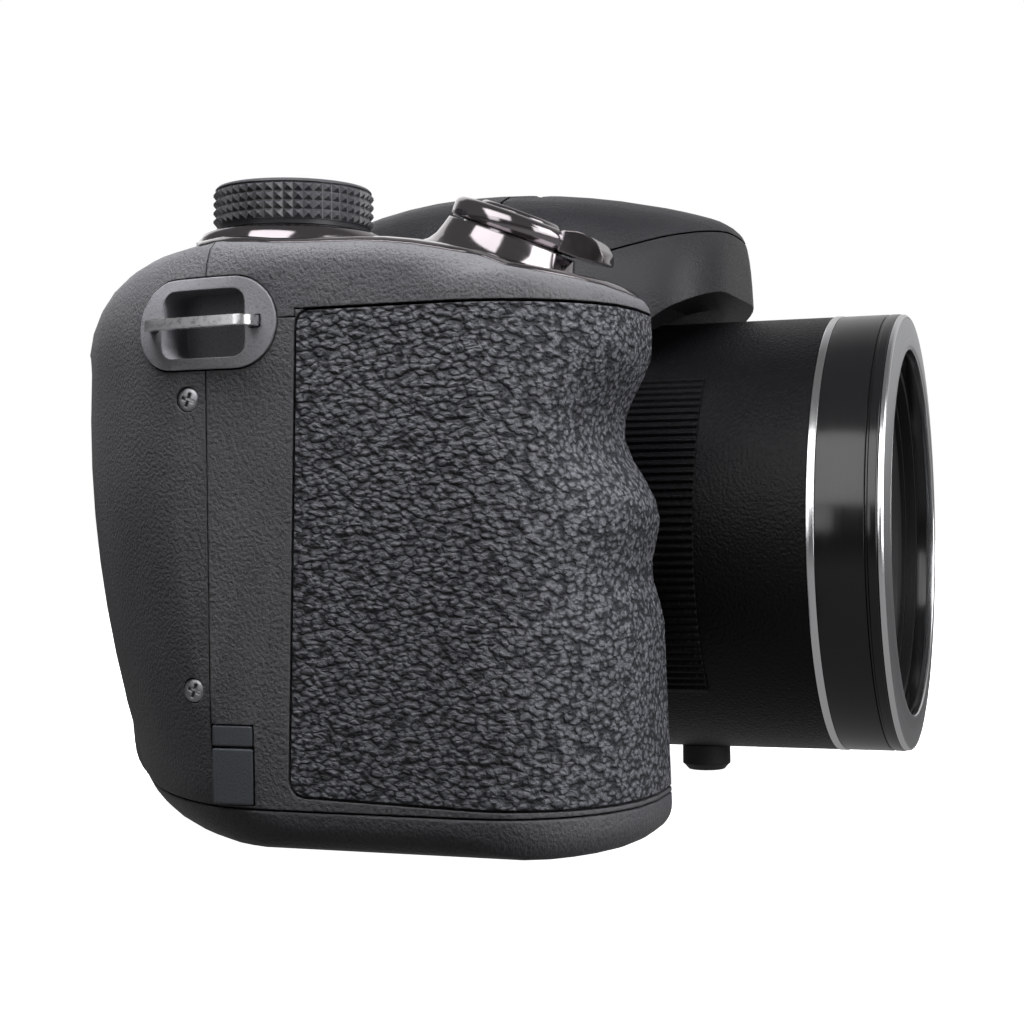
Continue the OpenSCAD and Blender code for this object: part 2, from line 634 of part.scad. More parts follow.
module flash_lid() color("#323234") moulded() difference() {
    union() {
        difference() {
            intersection() {
                hump();
                lid_zone();
            }
            hump(1.8);
            for (s = [-1, 1]) across(s * knuckle_x - 2.9 - clear, s * knuckle_x + 2.9 + clear)
                translate([lid_axis_y - 3.3, lid_axis_z - 9]) square([9, 20]);
        }
        intersection() {
            hump(0.1);
            across(3.3 - knuckle_x, knuckle_x - 3.3) translate([lid_axis_y, lid_axis_z])
                circle(r = lid_axis_r - 0.05, $fn = 24);
        }
        intersection() {
            hump(1);
            for (s = [-1, 1]) across(s * bracket_x - 0.7, s * bracket_x + 0.7)
                translate([flash_at.y, flash_at.z])
                polygon([[-5, 1.8], [-5, hump_h - flash_at.z + 1.5], [8.2, hump_h - flash_at.z + 1.5],
                    [8.2, 3],
                         [3.2, -2.2], [0.2, -2.2]]);
        }
    }
    translate([-knuckle_x - 3, lid_axis_y, lid_axis_z])
        rotate([0, 90, 0]) cylinder(r = pin_r - 0.14, h = 2 * knuckle_x + 6, $fn = 20);
}
module flash_pin() color("#b8b8bc") translate([-knuckle_x - 2.7, lid_axis_y, lid_axis_z]) rotate([0, 90, 0])
    cylinder(r = pin_r - 0.2, h = 2 * knuckle_x + 5.4);
module at_flash() translate(flash_at) rotate([50, 0, 0]) children();
module flash_reflector() color("#d7d7da") at_flash() difference() {
    box_between([-flash_w, -1.2, -flash_half], [flash_w, 1.8, flash_half]);
    box_between([0.8 - flash_w, -3, -0.76 * flash_half], [flash_w - 0.8, 1.1, 0.76 * flash_half]);
}
module flash_tube() color("#e9ecef") at_flash() translate([1 - flash_w, -0.05, 0])
    rotate([0, 90, 0]) cylinder(r = 0.26 * flash_half, h = 2 * flash_w - 2);
module flash_window() color("#e4e6e4") at_flash() box_between([-flash_w, -2.3, -flash_half],
    [flash_w, -1.3, flash_half]);

// lens
module lens_barrel() color("#1f1f21") about_lens() polygon([
    [barrel_r - 2.3, -accent_y + 1.2], [barrel_r, -accent_y + 1.2], [barrel_r, -body_front],
    [barrel_r - 2.3, -body_front]]);
module barrel_ribs() color("#1a1a1c") for (s = [0, 180])
    translate([0, -15, axis_z]) rotate([90, 0, 0]) rotate([0, 0, s]) linear_extrude(30) polygon(concat(
        [for (i = [0:4 * rib_count - 1])
            let (a = rib_half * (i / (2 * rib_count) - 1), r = barrel_r + (i % 4 < 2 ? 0.45 : 0.12))
                r * [cos(a), sin(a)]],
        [for (i = [24:-1:0]) let (a = rib_half * (i / 12 - 1)) (barrel_r + 0.03) * [cos(a), sin(a)]]));
module accent_ring() color("#d0d0d4") ring_between(barrel_r - 2.3, barrel_r + 0.08, -accent_y,
    -accent_y + 1.15);
module front_ring() color("#101012") about_lens() polygon([
    [mouth_in, behind(1.25)], [barrel_r - 0.2, behind(1.25)], [barrel_r, behind(1.45)],
        [barrel_r, behind(2.6)],
    [barrel_r - 0.35, behind(2.7)], [barrel_r - 0.35, behind(3)], [barrel_r, behind(3.1)],
        [barrel_r, -accent_y - 0.05],
    [mouth_in + sleeve_t, -accent_y - 0.05], [mouth_in + sleeve_t, behind(8.2)], [mouth_in, behind(8.2)]]);
module lens_bezel() color("#c4c4c8") about_lens() polygon([
    [mouth_in, -lens_front + 0.15], [mouth_in + 0.2, -lens_front], [mouth_in + 0.7, -lens_front],
    [barrel_r - 0.5, -lens_front + 0.4], [barrel_r - 0.1, -lens_front + 0.7], [barrel_r - 0.1, behind(1.2)],
    [mouth_in, behind(1.2)]]);
module front_foot() color("#19191b") difference() {
    union() {
        translate([0, -38.8, axis_z - barrel_r - 3]) cylinder(r = 3.8, h = 6);
        translate([0, -38.8, axis_z - barrel_r - 3.9]) cylinder(r1 = 2.9, r2 = 3.8, h = 1);
    }
    lens_rod(barrel_r + 0.05, -60, -20);
}
// straight slots for guide pins, forward from the pins at depth y; the pins are a turn apart
module around_lens(turn) for (a = [0:120:240]) translate([0, 0, axis_z]) rotate([0, a + turn, 0]) children();
module guide_slots(turn, y, travel) around_lens(turn)
    box_between([-guide_pin_r - clear, y - travel - guide_pin_r - clear, 0],
                [guide_pin_r + clear, y + guide_pin_r + clear, barrel_r]);
module guide_pins(turn, y, r0, r1) around_lens(turn) translate([0, y, r0]) cylinder(r = guide_pin_r,
    h = r1 - r0);
module guide_tube() color("#4a4a4e") difference() {
    ring_between(stage_1_r + clear, barrel_r - 2.6, behind(14.2), -body_front + wall - 0.2);
    guide_slots(0, behind(44.2), zoom_1);
}
module lens_stage_1() color("#18181a") {
    difference() {
        about_lens() polygon([
            [stage_2_r + clear, behind(2.8)], [stage_1_r - 0.4, behind(2.8)], [stage_1_r, behind(3.2)],
            [stage_1_r, behind(46.2)], [12.4, behind(46.2)], [12.4, behind(44.7)],
                [stage_1_r - 1.5, behind(44.7)],
            [stage_1_r - 1.5, behind(8.2)], [stage_2_r + clear, behind(8.2)]]);
        guide_slots(60, behind(41.2), zoom_2);
    }
    guide_pins(0, behind(44.2), stage_1_r - 0.5, barrel_r - 2.8);
}
module lens_stage_2() color("#1b1b1d") {
    about_lens() polygon([
        [stage_2_r - 1.2, behind(4.3)], [stage_2_r - 0.3, behind(4.3)], [stage_2_r, behind(4.6)],
        [stage_2_r, behind(43.2)], [stage_2_r - 1.8, behind(43.2)], [stage_2_r - 1.8, behind(16.2)],
        [glass_r - 2, behind(16.2)], [glass_r - 2, behind(14.2)], [stage_2_r - 1.2, behind(14.2)]]);
    guide_pins(60, behind(41.2), stage_2_r - 0.5, stage_1_r - 0.2);
}
module name_ring() color("#111113") about_lens() polygon([
    [glass_r, behind(6.6)], [stage_2_r - 1.3, behind(5)], [stage_2_r - 1.3, behind(9)],
        [glass_r, behind(9)]]);
// a lens of radius r whose faces bulge by the sags s0 and s1 from the rims y0 and y1
module glass(r, y0, y1, s0, s1) about_lens() polygon(concat(
    [for (i = [0:12]) [r * i / 12, y0 - s0 * (1 - pow(i / 12, 2))]],
    [for (i = [12:-1:0]) [r * i / 12, y1 + s1 * (1 - pow(i / 12, 2))]]));
module front_glass() color("#6f86a0") glass(stage_2_r - 1.3, behind(10), behind(14), 2.6, 0);
module middle_glass() color("#7c93a8") glass(12.3, behind(44.8), behind(46.1), 2.2, 1.2);
module rear_glass() color("#7c93a8") glass(9, plate_y - 9.5, plate_y - 7.1, 1, 0.8);
module lens_base() color("#3c3c40") difference() {
    union() {
        ring_between(base_r - 2.3, base_r, -body_front + wall + 0.2, plate_y - 1.6);
        ring_between(9.05, base_r - 0.7, plate_y - 9.7, plate_y - 6.9);
        ring_between(9.05, base_r - 0.7, plate_y - 3.1, plate_y - 1.6);
    }
    box_between([-8, plate_y - 4.1, axis_z - 7], [8, plate_y, axis_z + 7]);
    cylinder(r = bush_r + 0.1, h = max(socket_depth + 1.7, axis_z - base_r + 2.6));
    cylinder(r = bush_r + 2.5, h = bush_top + 0.1);
}
module zoom_motor() color("#8d8d92") translate([0, 4 - body_front, axis_z]) rotate([0, 70, 0])
    translate([0, 0, barrel_r + 5.3]) rotate([-90, 0, 0]) cylinder(r = 5, h = 17);

// inside
module image_sensor() color("#4c5a4e") box_between([-7.7, plate_y - 4.9, axis_z - 6.7],
    [7.7, plate_y - 1.5, axis_z + 6.7]);
module sensor_board() color("#2f5d3a") box_between([-17, plate_y - 1.4, axis_z - 15],
    [17, plate_y - 0.2, axis_z + 15]);
module chassis() color("#a7a9ad") {
    difference() {
        box_between([door_x - 3, plate_y, 9], [body_left - 9.6, plate_y + 1.2, split_z]);
        for (x = [door_x + 7, body_left - 17.6]) translate([x, 0, axis_z]) rotate([-90, 0, 0])
            cylinder(r = 4, h = 20);
    }
    box_between([-9, plate_y - 1.4, bush_top + 0.1], [9, plate_y + 1.2, bush_top + 1.3]);
    box_between([-9, plate_y, bush_top + 0.5], [9, plate_y + 1.2, 9.5]);
    for (x = [door_x + 4, body_left - 13.6]) for (z = [15, split_z - 5])
        translate([x, plate_y + 0.9, z]) rotate([-90, 0, 0]) cylinder(r = 2, h = board_y - plate_y - 1);
}
module main_board() color("#2a5a36") {
    box_between([door_x, board_y, 11], [body_left - 9.6, board_y + 1.2, split_z - 1]);
    for (c = [[-20, 20], [4, 36], [14, 16]])
        translate([c.x, board_y + 1.1, split_z - c.y]) cube([14, 1.6, 12]);
}
module screen_panel() color("#2b2f36")
    box_between([screen_x - screen_w + 1, body_rear - wall - 4.3, screen_z + 1],
                [screen_x - 1, body_rear - wall - 0.2, screen_z + screen_h - 1]);
module screen_window() color("#0d0f12")
    box_between([screen_x - screen_w, body_rear - 1, screen_z],
        [screen_x, body_rear + screen_proud, screen_z + screen_h]);
module cell_places() for (i = [-0.5, 0.5]) for (j = [-0.5, 0.5])
    translate([box_x + i * cell_pitch, box_y + j * cell_pitch, 0]) children();
module cells() color("#3f6f8f") cell_places() {
    translate([0, 0, cell_z]) cylinder(r = cell_r, h = cell_l - 1);
    translate([0, 0, cell_z + cell_l - 1.1]) cylinder(r = 2.6, h = 1.1);
}
module battery_box() color("#37373b") difference() {
    translate([box_x - box_half, box_y - box_half, cell_z - 0.2]) linear_extrude(cell_l + 3.4)
        polygon(rounded([[0, 0], [2 * box_half, 0], [2 * box_half, 2 * box_half],
            [0, 2 * box_half]], 5.5, 6));
    translate([box_x - box_half + 0.6, box_y - box_half + 0.6, cell_z - 1.2]) linear_extrude(cell_l + 3.2)
        polygon(rounded([[0, 0], [2 * box_half - 1.2, 0], [2 * box_half - 1.2, 2 * box_half - 1.2],
            [0, 2 * box_half - 1.2]], 4.9, 6));
}
module cell_contacts() color("#c9a24a") for (j = [-0.5, 0.5])
    translate([box_x - 12, box_y + j * cell_pitch - 4, cell_z + cell_l + 0.2]) cube([24, 8, 0.8]);
module card_slot() color("#b4b6ba") difference() {
    box_between([box_x - 13, box_y + box_half + 0.3, cell_z + 0.8],
        [box_x + 13, box_y + box_half + 3.9, cell_z + 30.8]);
    box_between([box_x - 12, box_y + box_half + 0.9, cell_z - 0.2],
        [box_x + 12, box_y + box_half + 3.3, cell_z + 28.8]);
}
module flash_capacitor() color("#22324a") translate([body_left - wall - 6.3, seam_y - 6.7, 11])
    cylinder(r = 6, h = min(far_strap_z - 18, axis_z - 6));
module tripod_socket() color("#b9babd") difference() {
    union() {
        cylinder(r = bush_r, h = 3);
        translate([0, 0, wall + 0.1]) cylinder(r = bush_r + 2.4, h = bush_top - wall - 0.1);
        cylinder(r = bush_r - 0.6, h = socket_depth + 1.5);
    }
    translate([0, 0, -1]) cylinder(r = socket_r, h = socket_depth + 1);
}
module af_lamp() color("#b5552f") translate([lamp_x, -body_front + wall, lamp_z]) rotate([90, 0, 0]) {
    cylinder(r = 2.6, h = wall);
    translate([0, 0, wall]) cylinder(r1 = 2.6, r2 = 1.6, h = 0.5);
}
module port_door() color("#242527") across(body_left - 1.2, body_left) port_outline();
module port_socket() color("#9fa1a6") difference() {
    box_between([body_left - 8, port_y - 4, port_z - 4], [body_left - 1.7, port_y + 4, port_z + 4]);
    box_between([body_left - 7, port_y - 3.3, port_z - 1.4], [body_left, port_y + 3.3, port_z + 1.4]);
}

// rear keys
module key(i, tall) at_panel(key_sites[i].x, key_sites[i].y) {
    translate([0, 0, -4]) cylinder(r = key_sites[i].z, h = 4 + tall);
    translate([0, 0, tall]) cylinder(r1 = key_sites[i].z, r2 = key_sites[i].z - 0.3, h = 0.3);
}
module movie_key() color("#a03030") key(0, key_travel);
module playback_key() color("#3a3a3d") key(1, key_travel);
module menu_key() color("#3a3a3d") key(3, key_travel);
module delete_key() color("#3a3a3d") key(4, key_travel);
module control_pad() color("#303033") difference() {
    key(2, key_travel + 0.4);
    at_panel(key_sites[2].x, key_sites[2].y) translate([0, 0, -9]) cylinder(r = set_r + clear, h = 18);
}
module set_key() color("#3a3a3d") at_panel(key_sites[2].x, key_sites[2].y) {
    translate([0, 0, -4]) cylinder(r = set_r, h = key_travel + 4.2);
    translate([0, 0, key_travel + 0.2]) cylinder(r1 = set_r, r2 = set_r - 0.3, h = 0.3);
}

front_cover();
rear_cover();
top_cover();
grip_rubber();
battery_door();
door_latch();
door_contacts();
door_pin();
cord_flap();
flap_anchor();
strap_bezels();
strap_loops();
cover_screws();
top_trim();
mode_dial();
zoom_lever();
shutter_button();
power_button();
flash_housing();
flash_lid();
flash_pin();
flash_reflector();
flash_tube();
flash_window();
lens_barrel();
barrel_ribs();
accent_ring();
front_ring();
lens_bezel();
front_foot();
guide_tube();
lens_stage_1();
lens_stage_2();
name_ring();
front_glass();
middle_glass();
rear_glass();
lens_base();
zoom_motor();
image_sensor();
sensor_board();
chassis();
main_board();
screen_panel();
screen_window();
cells();
battery_box();
cell_contacts();
card_slot();
flash_capacitor();
tripod_socket();
af_lamp();
port_door();
port_socket();
movie_key();
playback_key();
menu_key();
delete_key();
control_pad();
set_key();
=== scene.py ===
import math

import bpy
from mathutils import Euler, Matrix, Vector


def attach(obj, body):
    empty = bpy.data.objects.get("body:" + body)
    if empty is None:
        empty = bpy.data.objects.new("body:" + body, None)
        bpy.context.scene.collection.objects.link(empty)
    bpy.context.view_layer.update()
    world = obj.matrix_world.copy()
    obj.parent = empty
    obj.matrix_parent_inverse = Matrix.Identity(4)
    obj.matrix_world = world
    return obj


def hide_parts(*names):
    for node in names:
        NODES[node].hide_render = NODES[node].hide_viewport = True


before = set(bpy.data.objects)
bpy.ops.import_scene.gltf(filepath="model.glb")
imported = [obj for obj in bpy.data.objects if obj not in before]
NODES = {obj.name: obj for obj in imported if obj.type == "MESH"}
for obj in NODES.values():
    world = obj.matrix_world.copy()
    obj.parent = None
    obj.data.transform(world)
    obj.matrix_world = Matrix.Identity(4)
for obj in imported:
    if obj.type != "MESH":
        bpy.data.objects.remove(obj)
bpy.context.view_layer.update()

MM = 0.001


# places, in mm, in the part's frame

def place(at, turns=()):
    """A frame at a point, turned about its own axes one after the other: ("X", 20) is 20 degrees about X."""
    m = Matrix.Translation(Vector(at) * MM)
    for axis, degrees in turns:
        m = m @ Matrix.Rotation(math.radians(degrees), 4, axis)
    return m


LENS_AXIS_HEIGHT = 39
DIAL = place((-58, 5.2, 81.632), [("X", 1)])
SHUTTER = place((-58, -25, 74.8), [("X", 22)])
POWER = place((-36, -6, 78.8))
LENS = place((0, 0, LENS_AXIS_HEIGHT), [("X", -90)])
PANEL = place((-44.5, 41.2, 40), [("Z", 27), ("X", -95.4)])
SCREWS = [
    place((-77.85, 11.1, 58.1), [("Y", 90)]),
    place((-77.2, 11.1, 20.4), [("Y", 90)]),
    place((51.25, 34, 12), [("Y", -90)]),
    place((51.25, 34, 40), [("Y", -90)]),
    place((-28, 30, 0.35)),
    place((36, 30, 0.35)),
]

# thickness of the prints in mm: on the dial and the power button, then on the keys and beside the dial
DIAL_PRINT = 0.04
KEY_PRINT = 0.03


# bench: how pieces are made

def clear_bench():
    if bpy.context.object and bpy.context.object.mode != "OBJECT":
        bpy.ops.object.mode_set(mode="OBJECT")
    bpy.ops.object.select_all(action="DESELECT")


def take(obj):
    clear_bench()
    obj.select_set(True)
    bpy.context.view_layer.objects.active = obj
    return obj


def apply(obj, kind, **settings):
    """Adds a modifier and applies it."""
    take(obj)
    m = obj.modifiers.new(kind.title(), kind)
    for key, value in settings.items():
        setattr(m, key, value)
    bpy.ops.object.modifier_apply(modifier=m.name)
    return obj


def round_edges(obj, width, segments=3, angle=30):
    """Bevels the edges that turn by more than the angle, width in mm."""
    return apply(obj, "BEVEL", width=width * MM, segments=segments, limit_method="ANGLE",
                 angle_limit=math.radians(angle), use_clamp_overlap=True)


def smooth(obj, angle=35):
    take(obj)
    bpy.ops.object.shade_smooth_by_angle(angle=math.radians(angle))
    return obj


def set_down(obj, where):
    """Moves a piece that was made at the origin to its place, and keeps the place in its mesh."""
    take(obj)
    obj.matrix_world = where
    bpy.ops.object.transform_apply(location=True, rotation=True, scale=True)
    return obj


def fit(obj, name, body, finish, replaces=()):
    """Names a finished piece, gives it its finish and lets it ride on its body."""
    obj.name = name
    obj.data.name = name
    obj.data.materials.clear()
    obj.data.materials.append(finish)
    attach(obj, body)
    if replaces:
        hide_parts(*replaces)
    return obj


def turned(profile, where, sides=96, ends="ring"):
    """A piece turned on a lathe from points of radius and height, about the place's Z.

    ends: "ring" closes the last point on the first, "solid" fills the first and the last circle."""
    clear_bench()
    (r, z) = profile[0]
    bpy.ops.mesh.primitive_circle_add(vertices=sides, radius=r * MM, location=(0, 0, z * MM))
    obj = bpy.context.object
    bpy.ops.object.transform_apply(location=True, rotation=True, scale=True)
    bpy.ops.object.mode_set(mode="EDIT")
    bpy.ops.mesh.select_all(action="SELECT")
    if ends == "solid":
        bpy.ops.mesh.edge_face_add()
        bpy.ops.mesh.select_all(action="SELECT")
    for r2, z2 in list(profile[1:]) + ([profile[0]] if ends == "ring" else []):
        bpy.ops.mesh.extrude_region_move(TRANSFORM_OT_translate={"value": (0, 0, (z2 - z) * MM)})
        bpy.ops.transform.resize(value=(r2 / r, r2 / r, 1), center_override=(0, 0, z2 * MM))
        r, z = r2, z2
    bpy.ops.mesh.select_all(action="SELECT")
    bpy.ops.mesh.remove_doubles(threshold=0.002 * MM)
    bpy.ops.mesh.normals_make_consistent(inside=False)
    bpy.ops.object.mode_set(mode="OBJECT")
    return set_down(obj, where)


def slab(width, height, thick, corner, where, steps=6):
    """A plate with rounded corners, its back on the place's XY plane."""
    clear_bench()
    bpy.ops.mesh.primitive_plane_add(size=1)
    obj = bpy.context.object
    obj.scale = (width * MM, height * MM, 1)
    bpy.ops.object.transform_apply(location=True, rotation=True, scale=True)
    bpy.ops.object.mode_set(mode="EDIT")
    bpy.ops.mesh.select_all(action="SELECT")
    if corner:
        bpy.ops.mesh.bevel(offset=corner * MM, segments=steps, affect="VERTICES")
        bpy.ops.mesh.select_all(action="SELECT")
    bpy.ops.mesh.extrude_region_move(TRANSFORM_OT_translate={"value": (0, 0, thick * MM)})
    bpy.ops.mesh.select_all(action="SELECT")
    bpy.ops.mesh.normals_make_consistent(inside=False)
    bpy.ops.object.mode_set(mode="OBJECT")
    return set_down(obj, where)


def plate(points, thick, where):
    """A plate cut to an outline of X and Y points, its back on the place's XY plane."""
    clear_bench()
    bpy.ops.mesh.primitive_circle_add(vertices=len(points), radius=MM, fill_type="NGON")
    obj = bpy.context.object
    for corner, (x, y) in zip(obj.data.vertices, points):
        corner.co = (x * MM, y * MM, 0)
    bpy.ops.object.mode_set(mode="EDIT")
    bpy.ops.mesh.select_all(action="SELECT")
    bpy.ops.mesh.extrude_region_move(TRANSFORM_OT_translate={"value": (0, 0, thick * MM)})
    bpy.ops.mesh.select_all(action="SELECT")
    bpy.ops.mesh.normals_make_consistent(inside=False)
    bpy.ops.object.mode_set(mode="OBJECT")
    return set_down(obj, where)


def moulding(node, angle=35):
    """A copy of a CAD solid whose loose triangles are joined, so that it can be shaded round."""
    clear_bench()
    mesh = NODES[node].data.copy()
    obj = bpy.data.objects.new(node + "_moulding", mesh)
    bpy.context.collection.objects.link(obj)
    take(obj)
    bpy.ops.mesh.customdata_custom_splitnormals_clear()
    bpy.ops.object.mode_set(mode="EDIT")
    bpy.ops.mesh.select_all(action="SELECT")
    bpy.ops.mesh.remove_doubles(threshold=0.004 * MM)
    bpy.ops.mesh.dissolve_degenerate(threshold=0.002 * MM)
    bpy.ops.object.mode_set(mode="OBJECT")
    return smooth(obj, angle)


def copies(obj, places):
    """The piece, made at the origin, set down at each place, as one joined mesh."""
    made = [obj]
    for _ in places[1:]:
        other = bpy.data.objects.new(obj.name, obj.data.copy())
        bpy.context.collection.objects.link(other)
        made.append(other)
    for other, where in zip(made, places):
        set_down(other, where)
    clear_bench()
    for other in made:
        other.select_set(True)
    bpy.context.view_layer.objects.active = obj
    bpy.ops.object.join()
    return obj


def cut(obj, tool):
    """Takes the tool's shape out of the piece, and the tool away."""
    apply(obj, "BOOLEAN", object=tool, operation="DIFFERENCE", solver="EXACT")
    bpy.data.objects.remove(tool, do_unlink=True)
    return obj


def lettering(text, size, where):
    """Plain figures as a thin print, their middle on the place."""
    clear_bench()
    bpy.ops.object.text_add()
    obj = bpy.context.object
    obj.data.body = text
    obj.data.align_x = "CENTER"
    obj.data.align_y = "CENTER"
    obj.data.size = size * MM
    obj.data.extrude = DIAL_PRINT * MM / 2
    bpy.ops.object.convert(target="MESH")
    return set_down(bpy.context.object, where)


# finishes

def srgb(code):
    """A hex colour as linear light."""
    parts = [int(code[i:i + 2], 16) / 255 for i in (1, 3, 5)]
    return tuple(p / 12.92 if p <= 0.04045 else ((p + 0.055) / 1.055) ** 2.4 for p in parts) + (1.0,)


def node(tree, kind, feeds=None, **settings):
    """Adds a node: settings are its own, feeds are values for its inputs or sockets that lead into them."""
    n = tree.nodes.new("ShaderNode" + kind)
    for key, value in settings.items():
        setattr(n, key, value)
    for key, value in (feeds or {}).items():
        if isinstance(value, bpy.types.NodeSocket):
            tree.links.new(value, n.inputs[key])
        else:
            n.inputs[key].default_value = value
    return n


def material(name, **shader):
    """A new material: its tree, its shader with the sockets that are the same all over, its coordinates."""
    m = bpy.data.materials.new(name)
    m.use_nodes = True
    tree = m.node_tree
    skin = tree.nodes["Principled BSDF"]
    for key, value in shader.items():
        skin.inputs[key.replace("_", " ")].default_value = value
    spot = node(tree, "TexCoord").outputs["Object"]
    return m, tree, skin, spot


def spark_grained(name, low, high, grain, depth, rough, edge=0.25, shine=0.5):
    """Moulded plastic from a spark-eroded mould: shallow bumps that each turn a light and a dark side, with
    the low parts of the bumps darkened in the colour as a painted shade in the pits.

    grain is the size of a bump, depth its height and edge the rounding of the piece's edges, in mm."""
    m, tree, skin, spot = material(name, IOR=1.53, **{"Specular IOR Level": shine})
    bumps = node(tree, "TexNoise", {"Vector": spot, "Scale": 1 / (grain * MM), "Detail": 1.5,
                                    "Roughness": 0.5})
    specks = node(tree, "TexNoise", {"Vector": spot, "Scale": 1 / (0.55 * grain * MM), "Detail": 1.0})
    cloud = node(tree, "TexNoise", {"Vector": spot, "Scale": 1 / (14 * MM), "Detail": 2.0})
    tone = node(tree, "MapRange", {"Value": cloud.outputs["Fac"], "From Min": 0.3, "From Max": 0.7})
    base = node(tree, "Mix", {"Factor": tone.outputs["Result"], "A": srgb(low), "B": srgb(high)},
                data_type="RGBA")
    # painted shade: the low parts of the bumps are mixed towards near black in the base colour
    painted_pit_shade = node(tree, "MapRange", {"Value": bumps.outputs["Fac"], "From Min": 0.46, "From Max": 0.24,
                                  "To Max": 0.4}, interpolation_type="SMOOTHSTEP")
    shade = node(tree, "Mix", {"Factor": painted_pit_shade.outputs["Result"], "A": base.outputs["Result"],
                               "B": srgb("#0c0c0d")}, data_type="RGBA")
    tree.links.new(shade.outputs["Result"], skin.inputs["Base Color"])
    dull = node(tree, "MapRange", {"Value": specks.outputs["Fac"], "From Min": 0.3, "From Max": 0.7,
                                   "To Min": rough - 0.07, "To Max": rough + 0.08})
    tree.links.new(dull.outputs["Result"], skin.inputs["Roughness"])
    relief = node(tree, "Math", {0: specks.outputs["Fac"], 1: 0.3, 2: bumps.outputs["Fac"]},
                  operation="MULTIPLY_ADD")
    soft_edge = node(tree, "Bevel", {"Radius": edge * MM}, samples=4)
    bump = node(tree, "Bump", {"Height": relief.outputs["Value"], "Distance": depth * MM, "Strength": 1.0,
                               "Normal": soft_edge.outputs["Normal"]})
    tree.links.new(bump.outputs["Normal"], skin.inputs["Normal"])
    return m


# charcoal ABS, spark-eroded mould: dull grey with fine flecks, painted shade in the pits and softly lit edges
COVER_ABS = spark_grained("charcoal_abs_spark_grain", "#3f3f42", "#474749", 0.46, 0.13, 0.5, shine=0.15)
# the same ABS on the battery door, whose edge is rounded wide, in a little darker colours than the covers as
# a painted shade on the underside
DOOR_ABS = spark_grained("charcoal_abs_door", "#3b3b3e", "#424244", 0.46, 0.12, 0.5, edge=0.6, shine=0.2)
# the same ABS from a finer mould, around the strap loops: smoother, and paler in colour than the covers as a
# painted light
FINE_ABS = spark_grained("charcoal_abs_fine_grain", "#646468", "#6b6b6f", 0.3, 0.035, 0.42, shine=0.4)
# the hump's ABS, nearly black
HUMP_ABS = spark_grained("black_abs_fine_grain", "#121214", "#18181a", 0.4, 0.1, 0.46, shine=0.3)
# glass-filled polycarbonate barrel: black, with a grain that catches a little light
BARREL_PC = spark_grained("black_polycarbonate_barrel", "#040405", "#070708", 0.45, 0.12, 0.4, shine=0.14)
# plain polycarbonate inside, from a smooth mould
INNER_PC = spark_grained("grey_polycarbonate_inner", "#3b3b3e", "#434347", 0.8, 0.02, 0.55)
# black rubber foot, dull
FOOT_RUBBER = spark_grained("black_foot_rubber", "#19191a", "#212122", 0.5, 0.03, 0.6)
# rubber that closes the cord hole and the port: bluish and smooth
FLAP_RUBBER = spark_grained("blue_black_flap_rubber", "#25282d", "#2b2e33", 0.3, 0.03, 0.5)


def leather_grained_rubber():
    """Soft rubber moulded with a leather grain: lumps of about 1 mm, longer than tall, with painted light on
    their crests and painted shade in the creases.
    """
    m, tree, skin, spot = material("leather_grain_rubber", IOR=1.5, **{"Specular IOR Level": 0.25})
    lay = node(tree, "Mapping", {"Vector": spot, "Rotation": (math.radians(18), 0.0, 0.0),
                                 "Scale": (1.0, 0.8, 1.2)})
    drift = node(tree, "TexNoise", {"Vector": lay.outputs["Vector"], "Scale": 1 / (1.1 * MM), "Detail": 1.5})
    pull = node(tree, "VectorMath", {0: drift.outputs["Color"], 1: (0.5, 0.5, 0.5)}, operation="SUBTRACT")
    bent = node(tree, "VectorMath", {0: pull.outputs["Vector"], 1: (1.0 * MM,) * 3, 2: lay.outputs["Vector"]},
                operation="MULTIPLY_ADD")
    cells = node(tree, "TexVoronoi", {"Vector": bent.outputs["Vector"], "Scale": 1 / (0.9 * MM),
                                      "Smoothness": 0.3, "Randomness": 0.9}, feature="SMOOTH_F1")
    slope = node(tree, "Math", {0: cells.outputs["Distance"], 1: cells.outputs["Distance"]},
                 operation="MULTIPLY")
    crinkle = node(tree, "TexNoise", {"Vector": bent.outputs["Vector"], "Scale": 1 / (0.45 * MM),
                                      "Detail": 2.0, "Roughness": 0.6})
    dome = node(tree, "Math", {0: slope.outputs["Value"], 1: -1.0, 2: 0.5}, operation="MULTIPLY_ADD")
    relief = node(tree, "Math", {0: crinkle.outputs["Fac"], 1: 0.55, 2: dome.outputs["Value"]},
                  operation="MULTIPLY_ADD")
    # painted light and shade: the colour follows the relief, pale on the crests of the lumps and dark in the
    # creases
    crest_light_crease_shade = node(tree, "MapRange", {"Value": relief.outputs["Value"], "From Min": 0.4, "From Max": 0.85})
    tint = node(tree, "Mix", {"Factor": crest_light_crease_shade.outputs["Result"], "A": srgb("#1c1d20"), "B": srgb("#56575c")},
                data_type="RGBA")
    tree.links.new(tint.outputs["Result"], skin.inputs["Base Color"])
    dull = node(tree, "MapRange", {"Value": crest_light_crease_shade.outputs["Result"], "To Min": 0.62, "To Max": 0.46})
    tree.links.new(dull.outputs["Result"], skin.inputs["Roughness"])
    soft_edge = node(tree, "Bevel", {"Radius": 0.35 * MM}, samples=4)
    bump = node(tree, "Bump", {"Height": relief.outputs["Value"], "Distance": 0.45 * MM, "Strength": 1.0,
                               "Normal": soft_edge.outputs["Normal"]})
    tree.links.new(bump.outputs["Normal"], skin.inputs["Normal"])
    return m


# grip rubber: soft lumps with dull tops, painted light on their crests and painted shade in the creases
GRIP_RUBBER = leather_grained_rubber()


